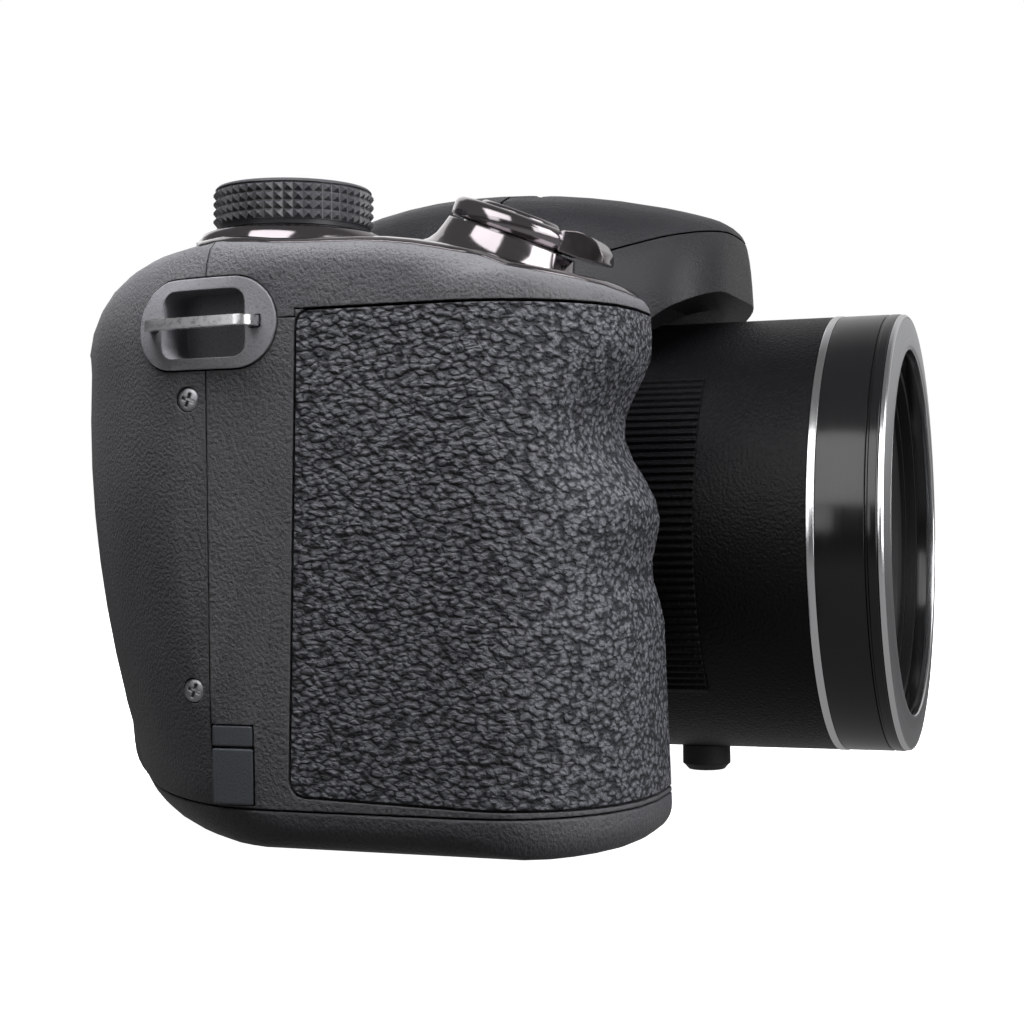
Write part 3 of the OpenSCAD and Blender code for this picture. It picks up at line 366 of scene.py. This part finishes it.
def plated(name, low, high, rough, wave=0.012):
    """Bright plating over moulded plastic or steel: it mirrors the studio a little unevenly."""
    m, tree, skin, spot = material(name, Metallic=1.0)
    uneven = node(tree, "TexNoise", {"Vector": spot, "Scale": 1 / (5 * MM), "Detail": 2.0})
    haze = node(tree, "TexNoise", {"Vector": spot, "Scale": 1 / (0.8 * MM), "Detail": 3.0})
    tint = node(tree, "Mix", {"Factor": uneven.outputs["Fac"], "A": srgb(low), "B": srgb(high)},
                data_type="RGBA")
    tree.links.new(tint.outputs["Result"], skin.inputs["Base Color"])
    dull = node(tree, "MapRange", {"Value": haze.outputs["Fac"], "From Min": 0.3, "From Max": 0.7,
                                   "To Min": rough * 0.75, "To Max": rough * 1.3})
    tree.links.new(dull.outputs["Result"], skin.inputs["Roughness"])
    soft_edge = node(tree, "Bevel", {"Radius": 0.3 * MM}, samples=4)
    bump = node(tree, "Bump", {"Height": uneven.outputs["Fac"], "Distance": wave * MM, "Strength": 1.0,
                               "Normal": soft_edge.outputs["Normal"]})
    tree.links.new(bump.outputs["Normal"], skin.inputs["Normal"])
    return m


# dark nickel plating on the deck trim and its controls: mirror-bright with brownish darks
DARK_NICKEL = plated("dark_nickel_plate", "#8b8588", "#a09a9d", 0.1)
# nickel-plated steel of the strap loops, the pins and the tripod socket, softly polished
NICKEL_STEEL = plated("nickel_plated_steel", "#d0d0d2", "#dcdcde", 0.3)
# the same plating on the screws, tumbled and so dull
TUMBLED_NICKEL = plated("tumbled_nickel_plate", "#868689", "#949497", 0.36, 0.03)
# zinc-plated sheet of the chassis and other inner metal
ZINC_SHEET = plated("zinc_plated_sheet", "#9b9da1", "#a8abb0", 0.34)
# phosphor bronze contacts
BRONZE = plated("phosphor_bronze", "#b08a45", "#c29c55", 0.28)
# mirror coating of the flash reflector
REFLECTOR = plated("aluminised_reflector", "#c9cacc", "#dcdddf", 0.14)


def lathe_turned(name, low, high, metal, rough, line, depth):
    """A ring finished on a lathe: fine lines run around the lens axis, so highlights draw out across them.

    line is the spacing of the tool lines in mm, wider than on a real ring so that a render can show it."""
    m, tree, skin, spot = material(name, Metallic=metal)
    axis = node(tree, "SeparateXYZ", {"Vector": spot})
    up = node(tree, "Math", {0: axis.outputs["Z"], 1: LENS_AXIS_HEIGHT * MM}, operation="SUBTRACT")
    turn = node(tree, "Math", {0: up.outputs["Value"], 1: axis.outputs["X"]}, operation="ARCTAN2")
    reach = node(tree, "CombineXYZ", {"X": axis.outputs["X"], "Y": up.outputs["Value"]})
    radius = node(tree, "VectorMath", {0: reach.outputs["Vector"]}, operation="LENGTH")
    along = node(tree, "Math", {0: axis.outputs["Y"], 1: radius.outputs["Value"]}, operation="ADD")
    lay = node(tree, "CombineXYZ", {"X": along.outputs["Value"], "Y": turn.outputs["Value"]})
    drawn = node(tree, "VectorMath", {0: lay.outputs["Vector"], 1: (1 / (line * MM), 0.8, 1.0)},
                 operation="MULTIPLY")
    lines = node(tree, "TexNoise", {"Vector": drawn.outputs["Vector"], "Scale": 1.0, "Detail": 3.0,
                                    "Roughness": 0.7})
    tint = node(tree, "Mix", {"Factor": lines.outputs["Fac"], "A": srgb(low), "B": srgb(high)},
                data_type="RGBA")
    tree.links.new(tint.outputs["Result"], skin.inputs["Base Color"])
    dull = node(tree, "MapRange", {"Value": lines.outputs["Fac"], "From Min": 0.3, "From Max": 0.7,
                                   "To Min": rough * 0.8, "To Max": rough * 1.3})
    tree.links.new(dull.outputs["Result"], skin.inputs["Roughness"])
    bump = node(tree, "Bump", {"Height": lines.outputs["Fac"], "Distance": depth * MM, "Strength": 1.0})
    tree.links.new(bump.outputs["Normal"], skin.inputs["Normal"])
    return m


# black anodised aluminium ring, lathe-turned and polished: near black with soft drawn highlights
BLACK_ANODISED = lathe_turned("black_anodised_aluminium", "#060607", "#0c0c0d", 0.0, 0.16, 0.22, 0.002)
# satin aluminium of the bezel's face
SATIN_ALUMINIUM = lathe_turned("satin_aluminium", "#a9aaac", "#bdbec0", 1.0, 0.32, 0.2, 0.003)
# diamond-cut aluminium of the bezel's edges and the accent ring: bright white lines
CUT_ALUMINIUM = lathe_turned("diamond_cut_aluminium", "#dcdcde", "#ececee", 1.0, 0.2, 0.2, 0.002)
# black paint on the sliding barrels, turned
BARREL_PAINT = lathe_turned("black_barrel_paint", "#0c0c0d", "#141415", 0.0, 0.38, 0.3, 0.006)


def satin_plastic(name, low, high, rough, shine=0.5, coat=0.0):
    """Plastic from a polished mould: even, with a soft sheen and faint handling marks."""
    m, tree, skin, spot = material(name, IOR=1.5, **{"Specular IOR Level": shine, "Coat Weight": coat,
                                                     "Coat Roughness": 0.06})
    cloud = node(tree, "TexNoise", {"Vector": spot, "Scale": 1 / (6 * MM), "Detail": 3.0})
    fine = node(tree, "TexNoise", {"Vector": spot, "Scale": 1 / (0.3 * MM), "Detail": 2.0})
    tint = node(tree, "Mix", {"Factor": cloud.outputs["Fac"], "A": srgb(low), "B": srgb(high)},
                data_type="RGBA")
    tree.links.new(tint.outputs["Result"], skin.inputs["Base Color"])
    dull = node(tree, "MapRange", {"Value": fine.outputs["Fac"], "From Min": 0.3, "From Max": 0.7,
                                   "To Min": rough * 0.85, "To Max": rough * 1.2})
    tree.links.new(dull.outputs["Result"], skin.inputs["Roughness"])
    bump = node(tree, "Bump", {"Height": fine.outputs["Fac"], "Distance": 0.006 * MM, "Strength": 1.0})
    tree.links.new(bump.outputs["Normal"], skin.inputs["Normal"])
    return m


# satin black ABS of the mode dial
DIAL_ABS = satin_plastic("satin_black_abs_dial", "#27272a", "#2e2e31", 0.36)
# black ABS of the keys on the rear panel and the door latch
KEY_ABS = satin_plastic("black_abs_keys", "#232326", "#2a2a2d", 0.28)
# red ABS of the movie key
RED_ABS = satin_plastic("red_abs", "#8f1c1c", "#a32424", 0.3)
# white and grey prints, flat and dull
WHITE_INK = satin_plastic("white_pad_print", "#d8d8d6", "#e4e4e2", 0.55, 0.3)
GREY_INK = satin_plastic("grey_pad_print", "#8c8c8e", "#99999b", 0.55, 0.3)
# acrylic window over the screen: black, polished flat
SCREEN_ACRYLIC = satin_plastic("black_acrylic_window", "#08090a", "#0c0d0f", 0.07, 0.5, 0.3)
# unlit LCD panel, dark and glossy, which the image sensor and the flash capacitor share
SCREEN_PANEL = satin_plastic("unlit_lcd_panel", "#14171b", "#1a1e24", 0.14, 0.5, 0.3)
# amber acrylic of the focus lamp
AMBER_ACRYLIC = satin_plastic("amber_acrylic", "#8e3d18", "#b05a2a", 0.1, 0.5, 0.5)
# circuit boards under green solder mask
SOLDER_MASK = satin_plastic("green_solder_mask", "#1c4a2c", "#2a6a3e", 0.3)
# PVC sleeves of the cells
CELL_SLEEVE = satin_plastic("cell_pvc_sleeve", "#2f5b78", "#3f7396", 0.3)


def clear_pane(name, low, high, rough):
    """Glass or acrylic that light passes through, a little uneven in tint and polish."""
    m, tree, skin, spot = material(name, IOR=1.6, **{"Transmission Weight": 1.0, "Coat Weight": 0.2,
                                                     "Coat Roughness": 0.02})
    swirl = node(tree, "TexNoise", {"Vector": spot, "Scale": 1 / (18 * MM), "Detail": 1.0})
    colour = node(tree, "Mix", {"Factor": swirl.outputs["Fac"], "A": srgb(low), "B": srgb(high)},
                  data_type="RGBA")
    tree.links.new(colour.outputs["Result"], skin.inputs["Base Color"])
    dull = node(tree, "MapRange", {"Value": swirl.outputs["Fac"], "To Min": rough, "To Max": rough * 2})
    tree.links.new(dull.outputs["Result"], skin.inputs["Roughness"])
    return m


# coated optical glass: dark, because the coating lets nearly all light in, with a faint blue
LENS_GLASS = clear_pane("coated_optical_glass", "#2b2f3a", "#363b47", 0.02)
# frosted acrylic of the flash window, pale and hazy, which the flash tube shares
FLASH_ACRYLIC = clear_pane("frosted_flash_acrylic", "#dfe3e6", "#e8ebee", 0.16)


# covers

for name, finish, slot in [
    ("front_cover", COVER_ABS, "grained_plastic"), ("rear_cover", COVER_ABS, "grained_plastic"),
    ("top_cover", COVER_ABS, "grained_plastic"), ("grip_rubber", GRIP_RUBBER, "grip_rubber"),
    ("strap_bezels", FINE_ABS, "grained_plastic"), ("flash_housing", HUMP_ABS, "grained_plastic"),
    ("top_trim", DARK_NICKEL, "dark_chrome"),
    ("lens_barrel", BARREL_PC, "barrel_plastic"), ("barrel_ribs", BARREL_PC, "barrel_plastic"),
    ("front_foot", FOOT_RUBBER, "barrel_plastic"), ("af_lamp", AMBER_ACRYLIC, "lamp_amber"),
]:
    fit(moulding(name), name + "_dressed", "camera", finish, [name])
for name, body, finish in [("battery_door", "battery_hatch", DOOR_ABS),
                           ("flash_lid", "flash_head", HUMP_ABS)]:
    fit(moulding(name), name + "_dressed", body, finish, [name])
for name, body, edge in [("cord_flap", "cord_cover", 0.25), ("flap_anchor", "camera", 0.25),
                         ("port_door", "port_cover", 0.3)]:
    fit(round_edges(moulding(name), edge), name + "_dressed", body, FLAP_RUBBER, [name])
loops = round_edges(moulding("strap_loops"), 0.55, 4)
fit(loops, "strap_loops_dressed", "camera", NICKEL_STEEL, ["strap_loops"])


# mode dial

def mode_dial():
    """Four rows of small pyramids around a drum, a rim on top and a shallow dish inside it."""
    clear_bench()
    rows = 4
    row_height = 1.2
    drum_radius = 10.6
    drum_foot = 1.0
    pyramid_height = 0.5
    figure_level = 6.13
    bpy.ops.mesh.primitive_circle_add(vertices=50, radius=drum_radius * MM, location=(0, 0, drum_foot * MM))
    drum = bpy.context.object
    bpy.ops.object.transform_apply(location=True, rotation=True, scale=True)
    bpy.ops.object.mode_set(mode="EDIT")
    bpy.ops.mesh.select_all(action="SELECT")
    for _ in range(rows):
        bpy.ops.mesh.extrude_region_move(TRANSFORM_OT_translate={"value": (0, 0, row_height * MM)})
    bpy.ops.mesh.select_all(action="SELECT")
    bpy.ops.mesh.normals_make_consistent(inside=False)
    bpy.ops.mesh.inset(thickness=0.05 * MM, use_individual=True)
    bpy.ops.mesh.poke(offset=pyramid_height * MM)
    bpy.ops.object.mode_set(mode="OBJECT")
    set_down(drum, DIAL)
    fit(drum, "dial_knurl", "dial", DIAL_ABS)
    hub = turned([(10.35, 0.3), (10.35, 0.98), (10.58, 1.02), (10.58, 5.8), (10.75, 5.84), (10.75, 6.0),
                  (10.45, 6.3), (9.9, 6.4), (9.3, 6.4), (9.1, 6.12), (0.01, 6.12)],
                 DIAL, sides=100, ends="solid")
    smooth(round_edges(hub, 0.06, 2, 25), 40)
    fit(hub, "dial_drum", "dial", DIAL_ABS, ["mode_dial"])
    for i in range(8):
        spot = DIAL @ place((0, 0, figure_level), [("Z", 45 * i)]) @ place((0, 6.6, 0))
        figure = lettering(str(i + 1), 3.2, spot)
        fit(figure, "dial_figure_%d" % (i + 1), "dial", WHITE_INK)


mode_dial()


# zoom lever, shutter button and power button

fit(moulding("zoom_lever", 50), "zoom_lever_dressed", "zoom_ring", DARK_NICKEL, ["zoom_lever"])

button = turned([(5.6, 4.0), (5.6, 7.75), (5.5, 8.1), (5.28, 8.35), (5.0, 8.48), (4.72, 8.5), (4.4, 8.42),
                 (3.4, 8.28), (1.8, 8.21), (0.01, 8.2)], SHUTTER, ends="solid")
smooth(round_edges(button, 0.12, 3, 30), 50)
fit(button, "shutter_button_cap", "shutter", DARK_NICKEL, ["shutter_button"])

power = turned([(3.8, -2.0), (3.8, 1.3), (3.4, 1.75), (2.6, 1.7), (1.2, 1.5), (0.01, 1.45)], POWER,
               sides=64, ends="solid")
smooth(round_edges(power, 0.15, 3, 30), 50)
fit(power, "power_button_cap", "power", DARK_NICKEL, ["power_button"])


# screws

def cross_head_screws():
    """A pan head with a cross recess, modelled once and set at the six places."""
    head = turned([(1.55, 0.9), (1.6, 0.25), (1.45, 0.1), (1.0, 0.02), (0.01, 0.0)], Matrix(),
                  sides=40, ends="solid")
    smooth(round_edges(head, 0.08, 2, 40), 40)
    for degrees in (0, 90):
        bit = slab(0.42, 1.9, 1.2, 0.0, place((0, 0, -0.6), [("Z", degrees)]))
        cut(head, bit)
    smooth(head, 35)
    driven = place((0, 0, 0), [("Z", 20)])
    return copies(head, [where @ driven for where in SCREWS])


fit(cross_head_screws(), "cover_screw_heads", "camera", TUMBLED_NICKEL, ["cover_screws"])


# lens

def lens_ring(name, profile, finish, replaces=(), edge=0.12):
    """A fixed ring around the lens axis, with fine bevels."""
    ring = turned(profile, LENS, sides=160)
    smooth(round_edges(ring, edge, 3, 25), 40)
    fit(ring, name, "camera", finish, replaces)


lens_ring("accent_ring_turned", [(31.4, -62.2), (33.78, -62.2), (33.78, -61.05), (31.4, -61.05)],
          CUT_ALUMINIUM, ["accent_ring"])
lens_ring("front_ring_turned", [(28.2, -70.95), (33.5, -70.95), (33.7, -70.75), (33.7, -69.6), (33.35, -69.5),
                                (33.35, -69.2), (33.7, -69.1), (33.7, -62.25), (30.1, -62.25), (30.1, -64.0),
                                (28.2, -64.0)], BLACK_ANODISED, ["front_ring"], 0.06)
lens_ring("bezel_face", [(28.5, -72.18), (28.9, -72.2), (33.15, -71.8), (33.15, -71.0), (28.5, -71.0)],
          SATIN_ALUMINIUM, ["lens_bezel"], 0.05)
lens_ring("bezel_outer_edge", [(33.16, -71.82), (33.35, -71.78), (33.6, -71.5), (33.6, -71.0),
                               (33.16, -71.0)], CUT_ALUMINIUM, edge=0.05)
lens_ring("bezel_inner_edge", [(28.2, -72.0), (28.3, -72.15), (28.49, -72.2), (28.49, -71.0), (28.2, -71.0)],
          CUT_ALUMINIUM, edge=0.04)
for name, body, slot, finish in [
    ("lens_stage_1", "first_barrel", "barrel_plastic", BARREL_PAINT),
    ("lens_stage_2", "second_barrel", "barrel_plastic", BARREL_PAINT),
    ("name_ring", "second_barrel", "barrel_plastic", BARREL_PAINT),
    ("front_glass", "second_barrel", "optical_glass", LENS_GLASS),
    ("middle_glass", "first_barrel", "optical_glass", LENS_GLASS),
    ("rear_glass", "camera", "optical_glass", LENS_GLASS),
]:
    fit(moulding(name), name + "_dressed", body, finish, [name])


# rear

window = slab(65, 50, 2.15, 1.4, place((6.5, 48.5, 34), [("X", -90)]))
smooth(round_edges(window, 0.35), 35)
fit(window, "screen_window_pane", "camera", SCREEN_ACRYLIC, ["screen_window"])
lcd = slab(61, 46, 0.04, 0.3, place((6.5, 50.64, 34), [("X", -90)]))
fit(smooth(lcd), "screen_picture_area", "camera", SCREEN_PANEL)
for key, body, slot, finish in [
    ("movie_key", "movie", "movie_red", RED_ABS), ("playback_key", "playback", "key_plastic", KEY_ABS),
    ("menu_key", "menu", "key_plastic", KEY_ABS), ("delete_key", "delete", "key_plastic", KEY_ABS),
    ("control_pad", "pad", "key_plastic", KEY_ABS), ("set_key", "set", "key_plastic", KEY_ABS),
]:
    fit(round_edges(moulding(key), 0.2, 3, 40), key + "_dressed", body, finish, [key])


def on_panel(x, y, top):
    """The top of a key, seen upright from behind the camera."""
    return PANEL @ place((x, y, top), [("Z", 180)])


ARROW = [(-0.75, -0.85), (0.85, 0.0), (-0.75, 0.85)]
KEY_TOP = 0.9
PAD_TOP = 1.3
MENU_KEY = on_panel(-5.5, 17, KEY_TOP)
DELETE_KEY = on_panel(5.5, 17, KEY_TOP)

arrow = plate(ARROW, KEY_PRINT, on_panel(5.5, -17, KEY_TOP))
fit(arrow, "playback_mark", "playback", WHITE_INK)

bar = slab(1.9, 0.28, KEY_PRINT, 0.1, Matrix(), 3)
bars = copies(bar, [MENU_KEY @ place((0, y, 0)) for y in (-0.65, 0, 0.65)])
fit(bars, "menu_mark", "menu", WHITE_INK)

bin_side = plate([(-0.5, -0.85), (0.5, -0.85), (0.65, 0.4), (-0.65, 0.4)], KEY_PRINT, DELETE_KEY)
fit(bin_side, "delete_mark_bin", "delete", WHITE_INK)
bin_lid = slab(1.7, 0.22, KEY_PRINT, 0.08, DELETE_KEY @ place((0, 0.68, 0)), 3)
fit(bin_lid, "delete_mark_lid", "delete", WHITE_INK)

dot = turned([(0.75, 0.0), (1.0, 0.0), (1.0, KEY_PRINT), (0.75, KEY_PRINT)],
             on_panel(-5, -21, KEY_TOP), sides=40)
fit(dot, "movie_mark", "movie", WHITE_INK)

small_arrow = plate([(0.6 * x, 0.6 * y) for x, y in ARROW], KEY_PRINT, Matrix())
around = [place((0, 0, 0), [("Z", 90 * i)]) @ place((6.3, 0, 0)) for i in range(4)]
arrows = copies(small_arrow, [on_panel(0, 0, PAD_TOP) @ where for where in around])
fit(arrows, "pad_marks", "pad", GREY_INK)


# marks on the deck, socket and latch

ring = turned([(0.95, 0.0), (1.2, 0.0), (1.2, DIAL_PRINT), (0.95, DIAL_PRINT)],
              POWER @ place((0, 0, 1.49)), sides=40)
fit(ring, "power_mark_ring", "power", WHITE_INK)
stroke = slab(0.24, 1.0, DIAL_PRINT, 0.1, POWER @ place((0, 1.3, 1.52)), 3)
fit(stroke, "power_mark_bar", "power", WHITE_INK)
beside_dial = DIAL @ place((0, 12.0, -0.16), [("X", -23.6)])
pointer = plate([(-0.45, 0.3), (0.0, -0.35), (0.45, 0.3)], KEY_PRINT, beside_dial)
fit(pointer, "dial_pointer", "camera", WHITE_INK)


def tripod_thread():
    """The socket's thread as rings of its pitch, one flank in and one out for each turn."""
    pitch = 1.27
    major = 3.18
    minor = 2.6
    flanks = [(major - 0.02 if i % 2 else minor, 0.3 + pitch / 2 * i) for i in range(9, -1, -1)]
    return smooth(turned([(major, 0.25), (major, 0.35 + pitch * 4.5)] + flanks, Matrix(), sides=64), 20)


fit(tripod_thread(), "tripod_thread", "camera", NICKEL_STEEL)
latch = round_edges(moulding("door_latch"), 0.16)
fit(latch, "door_latch_dressed", "hatch_latch", KEY_ABS, ["door_latch"])


# what stays as the CAD has it

for finish, names in [
    (INNER_PC, ["guide_tube", "lens_base", "battery_box"]),
    (ZINC_SHEET, ["chassis", "card_slot", "zoom_motor", "port_socket"]),
    (NICKEL_STEEL, ["door_pin", "flash_pin", "tripod_socket"]),
    (BRONZE, ["cell_contacts", "door_contacts"]),
    (SOLDER_MASK, ["main_board", "sensor_board"]),
    (SCREEN_PANEL, ["screen_panel", "image_sensor", "flash_capacitor"]),
    (CELL_SLEEVE, ["cells"]),
    (REFLECTOR, ["flash_reflector"]),
    (FLASH_ACRYLIC, ["flash_window", "flash_tube"]),
]:
    for name in names:
        NODES[name].data.materials.clear()
        NODES[name].data.materials.append(finish)


# studio

def room():
    """A pale wall beyond the part's far side, a dim room elsewhere and the pale table below.

    The table is mirrored but lights little, since the part shades it. The camera sees white all round."""
    scene = bpy.context.scene
    world = bpy.data.worlds.new("studio")
    scene.world = world
    world.use_nodes = True
    tree = world.node_tree
    way = node(tree, "SeparateXYZ", {"Vector": node(tree, "TexCoord").outputs["Generated"]})
    rays = node(tree, "LightPath")
    above = node(tree, "MapRange", {"Value": way.outputs["Z"], "From Min": -0.05, "From Max": 0.1})
    wall = node(tree, "MapRange", {"Value": way.outputs["X"], "From Min": 0.35, "From Max": 0.8,
                                   "To Min": 0.12, "To Max": 0.55})
    mirrored = node(tree, "MapRange", {"Value": rays.outputs["Is Glossy Ray"], "To Min": 0.06, "To Max": 0.3})
    table = node(tree, "MapRange", {"Value": way.outputs["Z"], "From Min": -0.05, "From Max": -0.3,
                                    "To Min": 0.04, "To Max": mirrored.outputs["Result"]})
    glow = node(tree, "Math", {0: above.outputs["Result"], 1: wall.outputs["Result"],
                               2: table.outputs["Result"]}, operation="MULTIPLY_ADD")
    level = node(tree, "Mix", {"Factor": rays.outputs["Is Camera Ray"], "A": glow.outputs["Value"], "B": 1.0},
                 data_type="FLOAT")
    tree.links.new(level.outputs["Result"], tree.nodes["Background"].inputs["Strength"])
    tree.nodes["Background"].inputs["Color"].default_value = (1, 1, 1, 1)


def paper_floor():
    """White paper that glows a little. From below it is clear, so that the underside can be looked at."""
    clear_bench()
    width = 4000
    bpy.ops.mesh.primitive_plane_add(size=width * MM, location=(0, 0, 0))
    floor = bpy.context.object
    floor.name = "floor"
    paper, tree, skin, _ = material("white_paper_floor", Roughness=0.9)
    skin.inputs["Base Color"].default_value = srgb("#f4f4f4")
    skin.inputs["Emission Color"].default_value = (1, 1, 1, 1)
    skin.inputs["Emission Strength"].default_value = 1.05
    below = node(tree, "NewGeometry").outputs["Backfacing"]
    clear = node(tree, "BsdfTransparent")
    sheet = node(tree, "MixShader", {0: below, 1: skin.outputs["BSDF"], 2: clear.outputs["BSDF"]})
    tree.links.new(sheet.outputs["Shader"], tree.nodes["Material Output"].inputs["Surface"])
    floor.data.materials.append(paper)
    floor.visible_diffuse = False
    floor.visible_glossy = False


# each lamp's name, place, aim and size in mm, its watts and whether matte or glossy surfaces show it
LAMPS = [
    ("side_softbox", (-526, 56, 389), (-40, -10, 45), (480, 430), 2.0, "glossy"),
    ("low_window", (-607, 191, 126), (-78, 9, 68), (220, 130), 0.2, "glossy"),
    ("front_card", (-177, -512, 95), (-50, -25, 80), (460, 200), 0.8, "glossy"),
    ("front_fill", (-120, -540, 260), (-10, -60, 45), (320, 320), 1.2, "glossy"),
    ("overhead_key", (-108, -15, 225), (-78, -15, 60), (300, 80), 2.1, "matte"),
    ("front_key", (-105, -540, 220), (-10, -60, 45), (320, 320), 4.4, "matte"),
    ("far_card", (420, 320, 380), (0, 0, 40), (400, 400), 0.3, "glossy"),
    ("far_fill", (420, 320, 380), (0, 0, 40), (400, 400), 2.2, "matte"),
]


def lamps():
    for name, at, to, size, watts, surfaces in LAMPS:
        lamp = bpy.data.lights.new(name, "AREA")
        lamp.shape = "RECTANGLE"
        lamp.size = size[0] * MM
        lamp.size_y = size[1] * MM
        lamp.energy = watts
        obj = bpy.data.objects.new(name, lamp)
        bpy.context.scene.collection.objects.link(obj)
        obj.location = Vector(at) * MM
        obj.rotation_euler = (Vector(to) - Vector(at)).to_track_quat("-Z", "Y").to_euler()
        obj.visible_camera = False
        obj.visible_diffuse = surfaces == "matte"
        obj.visible_glossy = surfaces == "glossy"


def photo_camera():
    """The camera that was fitted to the photo: beside the grip, level, a little turned about its own axis."""
    eye = bpy.data.cameras.new("photo_camera")
    eye.lens = 64.0
    eye.sensor_width = 36.0
    eye.clip_start = 0.01
    stand = Vector((-286.95, -105.10, 42.99)) * MM
    heading = math.radians(-70.99)
    roll = math.radians(-0.788)
    obj = bpy.data.objects.new("photo_camera", eye)
    bpy.context.scene.collection.objects.link(obj)
    obj.matrix_world = (Matrix.Translation(stand)
                        @ Euler((math.radians(90), 0, heading)).to_matrix().to_4x4()
                        @ Matrix.Rotation(roll, 4, "Z"))
    bpy.context.scene.camera = obj


bpy.context.scene.view_settings.view_transform = "Standard"
room()
paper_floor()
lamps()
photo_camera()
